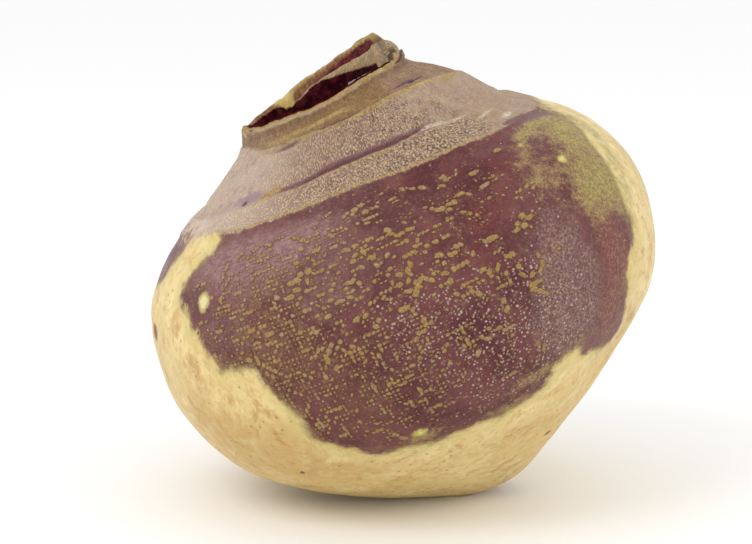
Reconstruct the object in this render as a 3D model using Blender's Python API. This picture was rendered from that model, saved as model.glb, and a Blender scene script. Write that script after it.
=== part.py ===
"""A rutabaga, grown as one piece: a broad, purple-shouldered root lying on its flank.

The root is shaped upright, about its own growing axis: the trimmed root end at the bottom, then the belly,
the shoulder, the neck with the rings that fallen leaves left, and the cut crown with its hollow. It is then
leaned over to the pose in which it lies, and a small spot of its flank is flattened where it rests.

Sizes are in millimetres and angles in degrees until the points are made, which are in metres. Azimuth is
counted about the growing axis: 0 points right (+X), -90 to the front (-Y) and 90 to the back.
"""

import math

import bmesh
import bpy
import numpy as np
from mathutils import Matrix, Vector, noise

MM = 0.001

# The pose it lies in, and the flat spot that it rests on
LEAN = 25.0
REST_FLAT_DEPTH = 1.0
REST_SNAP = 0.25

# The outline from the cut root end up to the lip of the crown: height along the axis, mean radius
OUTLINE = (
    (0.0, 8.5),
    (1.6, 12.2),
    (4.6, 18.0),
    (10.5, 28.9),
    (16.5, 38.0),
    (22.8, 46.5),
    (30.5, 54.9),
    (42.0, 60.8),
    (54.0, 62.9),
    (66.0, 60.5),
    (74.5, 56.0),
    (80.5, 50.0),
    (86.3, 42.8),
    (92.0, 35.6),
    (97.4, 27.8),
    (100.2, 23.4),
    (102.4, 21.4),
    (105.0, 21.0),
)
# How far the middle of each ring stands to the right of the axis: height, shift
SWAY = (
    (0.0, -3.2),
    (7.0, -3.4),
    (14.0, -2.5),
    (24.0, -2.0),
    (35.0, -1.7),
    (60.0, -2.0),
    (70.0, -3.0),
    (84.0, -4.9),
    (88.0, -4.5),
    (92.0, -2.9),
    (98.0, -1.4),
    (105.0, -0.6),
)
# Depth from front to back, as a share of the width
DEPTH_SHARE = 0.955

# The cut root end, dished a little
ROOT_END_RADIUS = OUTLINE[0][1]
ROOT_END_DISH = 0.8

# The crown, from its lip in to the middle of the hollow: height, radius
CROWN = (
    (105.8, 20.4),
    (105.3, 19.3),
    (102.6, 18.0),
    (105.0, 16.2),
    (98.8, 12.3),
    (96.6, 7.0),
    (97.2, 0.0),
)
# The whole crown slants, rising to the right, from where the neck starts
CROWN_SLANT = 3.4
SLANT_START = 80.0
SLANT_FULL = 100.0
# The torn lip all round, low at the front and with a stub standing at the back: azimuth, height
LIP_LINE = (
    (-180.0, 105.7), (-165.0, 105.9), (-150.0, 105.9), (-130.0, 105.2), (-110.0, 104.9), (-90.0, 103.9),
    (-78.0, 104.2), (-66.0, 104.4), (-50.0, 104.3), (-30.0, 103.9), (-18.0, 103.6), (-11.0, 103.8),
    (-5.0, 104.9), (2.0, 106.0), (10.0, 106.2), (18.0, 106.6), (25.0, 107.6), (32.0, 109.2), (38.0, 109.9),
    (46.0, 110.0), (53.0, 109.8), (60.0, 109.2), (70.0, 108.6), (80.0, 108.2), (90.0, 107.9), (100.0, 107.6),
    (110.0, 107.2), (120.0, 106.6), (140.0, 105.9), (160.0, 105.5),
)
LIP_HEIGHT = CROWN[0][0]
LIP_FOOT = 99.5
LIP_FULL = 104.5
LIP_INNER_FOOT = 16.8
LIP_INNER_FULL = 19.0
# The ring of old leaf bases inside the lip, which stands at the back and right only
INNER_RING_LINE = (
    (-180.0, 101.6), (-150.0, 101.2), (-120.0, 101.0), (-60.0, 101.0), (-35.0, 101.4), (-20.0, 102.4),
    (-8.0, 104.8), (5.0, 106.4), (30.0, 106.6), (60.0, 106.4), (80.0, 106.1), (100.0, 105.4), (115.0, 104.2),
    (130.0, 102.6), (150.0, 101.8),
)
INNER_RING_HEIGHT, INNER_RING_RADIUS = CROWN[3]
INNER_RING_WIDTH = 2.4
# The lobe of tissue that joins lip and ring at the right: azimuth, half turn, radius, half width, lift
LOBE = (10.0, 20.0, 18.0, 1.8, 3.4)

# Edges of old leaf bases round the neck, each a step down towards the crown: azimuth, height
COLLAR_LINE = (
    (-180.0, 101.5), (-153.5, 101.0), (-137.3, 100.3), (-123.9, 99.8), (-109.9, 99.4), (-97.5, 98.8),
    (-86.1, 98.1), (-64.3, 97.6), (-52.3, 97.3), (-40.5, 96.5), (-29.8, 95.8), (-18.5, 94.9), (-9.9, 94.1),
    (5.0, 93.2), (25.0, 93.8), (50.0, 96.0), (80.0, 98.4), (110.0, 99.8), (145.0, 101.0),
)
BAND_TOP_LINE = (
    (-180.0, 90.9), (-150.0, 90.7), (-126.5, 90.3), (-115.0, 90.1), (-103.5, 89.8), (-92.6, 89.7),
    (-81.6, 89.0), (-69.0, 88.5), (-57.2, 88.2), (-42.1, 87.1), (-33.5, 86.2), (-21.0, 84.8), (-5.0, 84.2),
    (15.0, 84.8), (45.0, 87.0), (80.0, 89.4), (120.0, 90.6), (155.0, 91.0),
)
# Each scar: its line, thickness and length of its taper
LEAF_SCARS = (
    (COLLAR_LINE, 0.9, 2.6),
    (BAND_TOP_LINE, 0.8, 5.0),
)
SCAR_STEP = 0.9
# The scars are worn thinner away from the azimuth where they are thickest
THICK_SIDE = -100.0
WORN_SHARE = 0.12
WOBBLE_SIZE = 11.0
WOBBLE_HEIGHT = 0.35
# The corky band below the lower scar ends in a step of its own, and a groove runs above it
BAND_BOTTOM_LINE = (
    (-180.0, 88.2), (-160.0, 88.0), (-137.7, 87.0), (-125.3, 85.9), (-114.2, 85.5), (-104.1, 85.3),
    (-94.6, 85.0), (-85.4, 84.5), (-76.4, 83.9), (-68.7, 83.3), (-54.9, 82.5), (-42.5, 81.6), (-27.8, 80.9),
    (-11.2, 80.3), (10.0, 80.6), (40.0, 82.2), (80.0, 84.6), (120.0, 86.6), (155.0, 88.0),
)
BAND_THICKNESS = 0.45
GROOVE_ABOVE = 1.1
GROOVE_WIDTH = 0.9
GROOVE_DEPTH = 0.5
# The lip rolls outward on one side: azimuth, height, half turn, half height, thickness
LIP_ROLL = (178.0, 102.9, 26.0, 1.5, 0.7)

# The two furrows that side roots grew from: azimuth, half width, depth
FURROWS = (
    (-28.0, 3.6, 1.1),
    (146.0, 4.0, 1.0),
)
FURROW_TOP = 42.0
FURROW_FULL = 18.0
FURROW_END = 9.0

# Slow swellings of the whole skin, less in the crown
SWELL_SIZE = 34.0
SWELL_HEIGHT = 0.8
CROWN_SWELL_SHARE = 0.3

# Mesh columns round the root, and mesh rows along each stretch of its outline
COLUMNS = 80
CURVE_SAMPLES = 24
ROOT_END_ROWS = 2
BELLY_ROWS = 19
NECK_ROWS = 34
CROWN_ROWS = 15
NECK_START = 80.5

SKIN_PURPLE = (0.16, 0.055, 0.075, 1.0)
SKIN_ROUGHNESS = 0.55


def between(p, q, start, end, t):
    """The point from p to q that t marks from start to end."""
    return p + (q - p) * (t - start) / (end - start)


def smooth_curve(stations):
    """A Catmull-Rom curve through the stations, paced by the square root of each chord so as not to loop."""
    points = np.array(stations, float)
    padded = np.vstack([2 * points[0] - points[1], points, 2 * points[-1] - points[-2]])
    curve = [points[0]]
    for a, b, c, d in zip(padded[:-3], padded[1:-2], padded[2:-1], padded[3:]):
        knots = np.cumsum([0.0] + [math.sqrt(np.linalg.norm(q - p)) for p, q in ((a, b), (b, c), (c, d))])
        for t in np.linspace(knots[1], knots[2], CURVE_SAMPLES + 1)[1:]:
            first = between(a, b, knots[0], knots[1], t)
            second = between(b, c, knots[1], knots[2], t)
            third = between(c, d, knots[2], knots[3], t)
            left = between(first, second, knots[0], knots[2], t)
            right = between(second, third, knots[1], knots[3], t)
            curve.append(between(left, right, knots[1], knots[2], t))
    return np.array(curve)


def evenly(curve, rows):
    """The curve resampled to rows + 1 points at equal steps along it."""
    along = np.concatenate([[0.0], np.cumsum(np.linalg.norm(np.diff(curve, axis=0), axis=1))])
    steps = np.linspace(0.0, along[-1], rows + 1)
    return np.stack([np.interp(steps, along, curve[:, k]) for k in (0, 1)], axis=1)


def meridian():
    """Height and radius of each mesh row, from the root end over the lip into the hollow.

    Also gives the number of rows before the first of the crown.
    """
    outside = smooth_curve(OUTLINE)
    crown = smooth_curve(OUTLINE[-1:] + CROWN)
    split = int(np.searchsorted(outside[:, 0], NECK_START))
    root_end = np.linspace((0.0, 0.0), OUTLINE[0], ROOT_END_ROWS + 1)
    belly = evenly(outside[: split + 1], BELLY_ROWS)
    neck = evenly(outside[split:], NECK_ROWS)
    inside = evenly(crown, CROWN_ROWS)
    rows = np.vstack([root_end[1:], belly[1:], neck[1:], inside[1:-1]])
    return rows, ROOT_END_ROWS + BELLY_ROWS + NECK_ROWS


def outward(rows):
    """The unit normal at each row, in the plane of the outline: its radius part and its height part."""
    slope = np.gradient(rows, axis=0)
    length = np.linalg.norm(slope, axis=1)
    return slope[:, 0] / length, -slope[:, 1] / length


def turn_from(middle, azimuth):
    """How far azimuth lies round from middle, from -180 to 180."""
    return (azimuth - middle + 180.0) % 360.0 - 180.0


def rise(value, start, end):
    """Climbs smoothly from 0 at start to 1 at end."""
    t = np.clip((value - start) / (end - start), 0.0, 1.0)
    return t * t * (3 - 2 * t)


def facing(azimuth, side):
    """1 on that side of the root, falling smoothly to 0 on the other."""
    return 0.5 + 0.5 * np.cos(np.radians(azimuth - side))


def bell(value, middle, width):
    """1 where value is at middle, falling to 0 on either side."""
    return np.exp(-(((value - middle) / width) ** 2))


def around(line, azimuth):
    """The height of a closed line at each azimuth. Its stations go once round, from -180."""
    first_azimuth, first_height = line[0]
    curve = smooth_curve(line + ((first_azimuth + 360.0, first_height),))
    return np.interp(turn_from(0.0, azimuth), curve[:, 0], curve[:, 1])


def uneven(points, size, height):
    """A slow random rise and fall over rows of points, at most about height either way."""
    return np.array([[height * noise.noise(Vector(point) / size) for point in row] for row in points])


def left_by_wear(azimuth):
    """The share of their thickness that the leaf bases keep at each azimuth."""
    return WORN_SHARE + (1 - WORN_SHARE) * facing(azimuth, THICK_SIDE)


def scar_relief(height, azimuth):
    """How far the old leaf bases and the rolled lip stand out of the neck."""
    side, middle, half_turn, half_height, roll = LIP_ROLL
    relief = roll * bell(turn_from(side, azimuth), 0.0, half_turn) * bell(height, middle, half_height)
    for line, thickness, taper in LEAF_SCARS:
        edge = around(line, azimuth)
        below_edge = 1 - rise(height, edge - SCAR_STEP / 2, edge + SCAR_STEP / 2)
        slope = np.exp(-np.maximum(edge - height, 0.0) / taper)
        relief += thickness * left_by_wear(azimuth) * below_edge * slope
    return relief


def band_relief(height, azimuth):
    """How far the corky band stands out, and the groove above it sinks in, as a negative height."""
    bottom = around(BAND_BOTTOM_LINE, azimuth)
    top = around(BAND_TOP_LINE, azimuth)
    groove = top + GROOVE_ABOVE
    band = rise(height, bottom - SCAR_STEP, bottom) * (1 - rise(height, top, groove))
    cut = GROOVE_DEPTH * bell(height, groove, GROOVE_WIDTH)
    return BAND_THICKNESS * left_by_wear(azimuth) * band - cut


def furrow_relief(height, azimuth, radius):
    """How far the two root furrows sink into the skin, as a negative height."""
    fade = (1 - rise(height, FURROW_FULL, FURROW_TOP)) * rise(height, 0.0, FURROW_END)
    relief = np.zeros_like(height)
    for middle, half_width, depth in FURROWS:
        across = np.radians(turn_from(middle, azimuth)) * radius
        relief -= depth * fade * bell(across, 0.0, half_width)
    return relief


def crown_lift(height, azimuth, radius, in_crown):
    """How far the crown's slant, its torn lip, its inner ring and its lobe lift points. Negative lowers them."""
    slant = math.tan(math.radians(CROWN_SLANT)) * rise(height, SLANT_START, SLANT_FULL)
    lip = rise(height, LIP_FOOT, LIP_FULL) * rise(radius, LIP_INNER_FOOT, LIP_INNER_FULL)
    ring = in_crown * (1 - lip) * bell(radius, INNER_RING_RADIUS, INNER_RING_WIDTH)
    lip_lift = lip * (around(LIP_LINE, azimuth) - LIP_HEIGHT)
    ring_lift = ring * (around(INNER_RING_LINE, azimuth) - INNER_RING_HEIGHT)
    side, half_turn, middle, half_width, lift = LOBE
    lobe = in_crown * lift * bell(turn_from(side, azimuth), 0.0, half_turn) * bell(radius, middle, half_width)
    return slant * radius * np.cos(np.radians(azimuth)) + lip_lift + ring_lift + lobe


def skin_points():
    """Rows of points round the root, upright on its own axis, and the middle points of its two ends."""
    rows, first_crown_row = meridian()
    radial, axial = outward(rows)
    height, azimuth = np.meshgrid(rows[:, 0], np.arange(COLUMNS) * 360.0 / COLUMNS, indexing="ij")
    radius = np.repeat(rows[:, 1:], COLUMNS, axis=1)
    angle = np.radians(azimuth)
    in_crown = (np.arange(len(rows)) >= first_crown_row)[:, None]

    plain = np.stack([radius * np.cos(angle), radius * np.sin(angle), height], axis=2)
    swell = uneven(plain, SWELL_SIZE, SWELL_HEIGHT)
    ring = height + uneven(plain, WOBBLE_SIZE, WOBBLE_HEIGHT)
    marks = scar_relief(ring, azimuth) + band_relief(ring, azimuth) + furrow_relief(height, azimuth, radius)
    relief = np.where(in_crown, CROWN_SWELL_SHARE * swell, swell + marks)
    dish = np.where(height > 0.0, 0.0, ROOT_END_DISH * (1 - (radius / ROOT_END_RADIUS) ** 2))

    reach = radius + radial[:, None] * relief
    x = reach * np.cos(angle) + np.interp(height, *zip(*SWAY))
    y = reach * np.sin(angle) * DEPTH_SHARE
    z = height + axial[:, None] * relief + crown_lift(height, azimuth, radius, in_crown) + dish
    root_middle = (SWAY[0][1], 0.0, ROOT_END_DISH)
    crown_middle = (SWAY[-1][1], 0.0, CROWN[-1][0])
    return np.stack([x, y, z], axis=2), root_middle, crown_middle


def skin_mesh():
    """The whole skin as one closed mesh, upright on its axis, in metres."""
    grid, root_middle, crown_middle = skin_points()
    mesh = bmesh.new()
    rings = [[mesh.verts.new(point) for point in row] for row in grid * MM]
    root_end = mesh.verts.new(Vector(root_middle) * MM)
    crown_end = mesh.verts.new(Vector(crown_middle) * MM)
    for lower, upper in zip(rings[:-1], rings[1:]):
        for i in range(COLUMNS):
            j = (i + 1) % COLUMNS
            mesh.faces.new((lower[i], lower[j], upper[j], upper[i]))
    for i in range(COLUMNS):
        j = (i + 1) % COLUMNS
        mesh.faces.new((root_end, rings[0][j], rings[0][i]))
        mesh.faces.new((crown_end, rings[-1][i], rings[-1][j]))
    return mesh


def flatten_rest(mesh, lean):
    """Cuts the lowest sliver off the leaned root. Points close to the cut are moved onto it first."""
    down = lean.inverted() @ Vector((0, 0, -1))
    level = max(vert.co.dot(down) for vert in mesh.verts) - REST_FLAT_DEPTH * MM
    for vert in mesh.verts:
        miss = vert.co.dot(down) - level
        if abs(miss) < REST_SNAP * MM:
            vert.co -= down * miss
    bmesh.ops.bisect_plane(
        mesh,
        geom=mesh.verts[:] + mesh.edges[:] + mesh.faces[:],
        plane_co=down * level,
        plane_no=down,
        dist=MM / 1000,
        clear_outer=True,
    )
    bmesh.ops.holes_fill(mesh, edges=[edge for edge in mesh.edges if edge.is_boundary])


def skin_material():
    """The purple of the upper skin, which is waxy and a little rough."""
    material = bpy.data.materials.new("rutabaga_skin")
    material.use_nodes = True
    shader = material.node_tree.nodes["Principled BSDF"]
    shader.inputs["Base Color"].default_value = SKIN_PURPLE
    shader.inputs["Roughness"].default_value = SKIN_ROUGHNESS
    shader.inputs["Metallic"].default_value = 0.0
    return material


def rutabaga():
    """The root as an object, leaned over, with the middle of its bounding box above the origin."""
    lean = Matrix.Rotation(math.radians(-LEAN), 3, "Y")
    mesh = skin_mesh()
    flatten_rest(mesh, lean)
    bmesh.ops.recalc_face_normals(mesh, faces=mesh.faces)
    bmesh.ops.triangulate(mesh, faces=[face for face in mesh.faces if len(face.verts) > 4])
    data = bpy.data.meshes.new("rutabaga")
    mesh.to_mesh(data)
    mesh.free()
    data.shade_smooth()
    data.materials.append(skin_material())

    root = bpy.data.objects.new("rutabaga", data)
    root.rotation_euler = lean.to_euler()
    leaned = np.array([lean @ vert.co for vert in data.vertices])
    low = leaned.min(axis=0)
    high = leaned.max(axis=0)
    root.location = (-(low[0] + high[0]) / 2, -(low[1] + high[1]) / 2, -low[2])
    return root


def main():
    for obj in list(bpy.data.objects):
        bpy.data.objects.remove(obj)
    bpy.context.scene.collection.objects.link(rutabaga())


main()
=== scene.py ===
"""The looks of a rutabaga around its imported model: its skin in full relief and colour, the corky flecks on
it, the torn leaf bases in its crown, a pale floor, soft studio light and the camera.

Sizes are in millimetres and angles in degrees until the points are made, which are in metres. The root is
shaped upright, about its own growing axis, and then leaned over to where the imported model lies. Azimuth is
counted about the middle of each ring: 0 points right (+X), -90 to the front (-Y) and 90 to the back. A
bearing is counted in the same way about the straight axis, from which the rings sway. A place on the skin is
given by its azimuth or bearing and its height along the axis.
"""

import math

import bmesh
import bpy
import numpy as np
from mathutils import Matrix, Vector, noise


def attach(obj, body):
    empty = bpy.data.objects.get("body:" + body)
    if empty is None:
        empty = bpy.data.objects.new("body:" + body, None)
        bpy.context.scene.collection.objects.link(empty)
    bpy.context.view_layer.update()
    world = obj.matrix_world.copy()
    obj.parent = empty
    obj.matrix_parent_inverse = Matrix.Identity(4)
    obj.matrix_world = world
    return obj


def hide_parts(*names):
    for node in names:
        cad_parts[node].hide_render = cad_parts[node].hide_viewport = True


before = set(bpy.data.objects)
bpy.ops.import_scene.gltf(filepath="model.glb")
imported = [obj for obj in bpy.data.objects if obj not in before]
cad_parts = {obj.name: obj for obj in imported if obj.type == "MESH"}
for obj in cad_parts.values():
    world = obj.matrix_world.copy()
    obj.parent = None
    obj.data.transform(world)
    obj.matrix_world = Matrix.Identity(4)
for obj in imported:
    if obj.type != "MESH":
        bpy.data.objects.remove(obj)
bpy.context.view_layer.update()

MM = 0.001

# The pose it lies in: its lean, and where its own upright frame stands
LEAN = 25.0
PLACE = (25.03, 0.09, 3.662)

# The outline from the cut root end up to the lip of the crown: height along the axis, mean radius
OUTLINE = (
    (0, 8.5), (1.6, 12.2), (4.6, 18), (10.5, 28.9), (16.5, 38), (22.8, 46.5), (30.5, 54.9), (42, 60.8),
    (54, 62.9), (66, 60.5), (74.5, 56), (80.5, 50), (86.3, 42.8), (92, 35.6), (97.4, 27.8), (100.2, 23.4),
    (102.4, 21.4), (105, 21),
)
# How far the middle of each ring stands to the right of the axis: height, shift
SWAY = (
    (0, -3.2), (7, -3.4), (14, -2.5), (24, -2), (35, -1.7), (60, -2), (70, -3), (84, -4.9), (88, -4.5),
    (92, -2.9), (98, -1.4), (105, -0.6),
)
DEPTH_SHARE = 0.955
ROOT_END_RADIUS = OUTLINE[0][1]
ROOT_END_DISH = 0.8

# The crown, from its lip in to the middle of the hollow: height, radius
CROWN = (
    (105.8, 20.4), (105.3, 19.3), (102.6, 18), (105, 16.2), (98.8, 12.3), (96.6, 7), (97.2, 0),
)
CROWN_SLANT = 3.4
SLANT_START = 80.0
SLANT_FULL = 100.0
# The torn lip all round, low at the front and with a stub standing at the back: azimuth, height
LIP_LINE = (
    (-180, 105.7), (-165, 105.9), (-150, 105.9), (-130, 105.2), (-110, 104.9), (-90, 103.9), (-78, 104.2),
    (-66, 104.4), (-50, 104.3), (-30, 103.9), (-18, 103.6), (-11, 103.8), (-5, 104.9), (2, 106), (10, 106.2),
    (18, 106.6), (25, 107.6), (32, 109.2), (38, 109.9), (46, 110), (53, 109.8), (60, 109.2), (70, 108.6),
    (80, 108.2), (90, 107.9), (100, 107.6), (110, 107.2), (120, 106.6), (140, 105.9), (160, 105.5),
)
LIP_HEIGHT = CROWN[0][0]
LIP_FOOT = 99.5
LIP_FULL = 104.5
LIP_INNER_FOOT = 16.8
LIP_INNER_FULL = 19.0
# The ring of old leaf bases inside the lip, which stands at the back and right only
INNER_RING_LINE = (
    (-180, 101.6), (-150, 101.2), (-120, 101), (-60, 101), (-35, 101.4), (-20, 102.4), (-8, 104.8),
    (5, 106.4), (30, 106.6), (60, 106.4), (80, 106.1), (100, 105.4), (115, 104.2), (130, 102.6), (150, 101.8),
)
INNER_RING_HEIGHT, INNER_RING_RADIUS = CROWN[3]
INNER_RING_WIDTH = 2.4
# The lobe of tissue that joins lip and ring at the right: azimuth, half turn, radius, half width, lift
LOBE = (10.0, 20.0, 18.0, 1.8, 3.4)

# Edges of old leaf bases round the neck, each a step down towards the crown: azimuth, height
COLLAR_LINE = (
    (-180, 101.5), (-153.5, 101), (-137.3, 100.3), (-123.9, 99.8), (-109.9, 99.4), (-97.5, 98.8),
    (-86.1, 98.1), (-64.3, 97.6), (-52.3, 97.3), (-40.5, 96.5), (-29.8, 95.8), (-18.5, 94.9), (-9.9, 94.1),
    (5, 93.2), (25, 93.8), (50, 96), (80, 98.4), (110, 99.8), (145, 101),
)
BAND_TOP_LINE = (
    (-180, 90.9), (-150, 90.7), (-126.5, 90.3), (-115, 90.1), (-103.5, 89.8), (-92.6, 89.7), (-81.6, 89),
    (-69, 88.5), (-57.2, 88.2), (-42.1, 87.1), (-33.5, 86.2), (-21, 84.8), (-5, 84.2), (15, 84.8), (45, 87),
    (80, 89.4), (120, 90.6), (155, 91),
)
# Each scar: its line, thickness and length of its taper
LEAF_SCARS = (
    (COLLAR_LINE, 0.9, 2.6),
    (BAND_TOP_LINE, 0.8, 5.0),
)
SCAR_STEP = 0.9
# The scars are worn thinner away from the azimuth where they are thickest
THICK_SIDE = -100.0
WORN_SHARE = 0.12
WOBBLE_SIZE = 11.0
WOBBLE_HEIGHT = 0.35
# The corky band below the lower scar ends in a step of its own, and a groove runs above it
BAND_BOTTOM_LINE = (
    (-180, 88.2), (-160, 88), (-137.7, 87), (-125.3, 85.9), (-114.2, 85.5), (-104.1, 85.3), (-94.6, 85),
    (-85.4, 84.5), (-76.4, 83.9), (-68.7, 83.3), (-54.9, 82.5), (-42.5, 81.6), (-27.8, 80.9), (-11.2, 80.3),
    (10, 80.6), (40, 82.2), (80, 84.6), (120, 86.6), (155, 88),
)
BAND_THICKNESS = 0.45
GROOVE_ABOVE = 1.1
GROOVE_WIDTH = 0.9
GROOVE_DEPTH = 0.5
# The lip rolls outward on one side: azimuth, height, half turn, half height, thickness
LIP_ROLL = (178.0, 102.9, 26.0, 1.5, 0.7)

# The two furrows that side roots grew from: azimuth, half width, depth
FURROWS = (
    (-28, 3.6, 1.1), (146, 4, 1),
)
FURROW_TOP = 42.0
FURROW_FULL = 18.0
FURROW_END = 9.0

SWELL_SIZE = 34.0
SWELL_HEIGHT = 0.8
CROWN_SWELL_SHARE = 0.3

# Mesh columns round the root, and mesh rows along each stretch of its outline
COLUMNS = 352
SEAM_SIDE = 100.0
CURVE_SAMPLES = 24
ROOT_END_ROWS = 8
BELLY_ROWS = 108
NECK_ROWS = 96
CROWN_ROWS = 58
NECK_START = 80.5

# Points this near the floor are moved onto it
REST_SNAP = 0.25

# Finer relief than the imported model's. Each kind has a height, a size round the root, a size along it, and a
# shift that makes it differ from the others
DIMPLES = (0.14, 5.0, 6.0, 3.0)
NECK_RIBS = (0.14, 1.9, 6.0, 9.0)
NECK_GRAIN = (0.08, 1.1, 0.9, 21.0)
HOLLOW_FOLDS = (0.6, 5.0, 9.0, 11.0)
CROWN_FIBRES = (0.04, 2.2, 9.0, 19.0)
LOBE_LUMPS = (0.3, 2.4, 2.4, 23.0)
LIP_WAVES = (1.0, 6.0, 400.0, 13.0)
LIP_FRAY = (0.5, 2.6, 400.0, 17.0)
LIP_RAGS = 0.26
# Where the torn edge starts and is full, by height and by radius, and where its outer teeth do
TORN_HEIGHTS = (102.6, 105.0)
TORN_RADII = (13.0, 15.6)
TEETH_RADII = (17.4, 19.4)
# The folds and fibres of the crown start and are full this far in from the lip, or out from the middle
FOLDS_INWARD = (9.0, 13.0)
FOLDS_OUTWARD = (0.0, 8.0)
FIBRES_INWARD = (1.0, 3.0)
# The neck's own relief starts and is full this far above the foot of the band
INTO_NECK = (-1.0, 1.5)
# The broken beads along the edges of the leaf bases: the mask of the height above the edge, the mask of their
# strength, their weight, middle and half width, their plain height and their grain
EDGE_BEAD = 0.26
EDGE_BEADS = (
    ("above_band", "band_gold", 1.0, 0.45, 0.5, 0.6, (1.0, 2.6, 3.4, 5.0)),
    ("above_top", "top_gold", 1.0, 0.2, 0.4, 0.6, (1.0, 2.0, 3.0, 1.0)),
    ("above_collar", "collar_gold", 1.2, -0.2, 0.45, 0.8, (1.0, 2.4, 30.0, 7.0)),
    ("above_shelf", "shelf_gold", 1.6, 0.0, 0.5, 0.8, (1.0, 2.4, 30.0, 8.0)),
)
# A bud or pit has a raised rim, this much wider and this share as high as the pit is deep
EYE_RIM = 0.9
EYE_RIM_SHARE = 0.4
DIRT_DEPTH = 0.3
SHADE_DEPTH = 0.45
STROKE_HEIGHT = 0.35
# The thin membrane standing in the hollow: its ends in the crown's plane, its half width, its height, and the
# shares of its length at which its first end is full and its last one starts to fade
MEMBRANE_ENDS = ((6.4, -13.9), (17.6, -10.0))
MEMBRANE_HALF_WIDTH = 0.85
MEMBRANE_TOP = 104.85
MEMBRANE_FADES = (0.12, 0.92)
# The nib at the right end of the lip: azimuth, half turn, height, half height and reach
NIB = (-14.5, 4.0, 104.9, 1.2, 1.7)
# The radius at which the sizes of the relief round the root are true
GRAIN_RADIUS = 45.0
# Small teeth and notches of the lip: azimuth, height, half turn
LIP_TEETH = (
    (-15.5, 1.5, 2.2), (-8.5, -1.3, 2.2), (-172, 0.5, 3), (-163, -1, 2.2), (-156, 0.3, 3), (-90, 0.15, 6),
    (-128, 0.3, 5), (34, 0.5, 3), (24, -0.5, 3), (72, 0.4, 4), (120, -0.4, 3),
)
# A short shelf of leaf bases over the collar on each side: azimuth, height
SHELF_LINE = (
    (-180, 102.4), (-135, 101.2), (-122, 100.9), (-105, 100.7), (-92, 100.6), (-82, 100.3), (-74, 99.9),
    (-40, 99.5), (0, 98), (60, 99.5), (110, 101.8), (150, 102.3),
)

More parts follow.
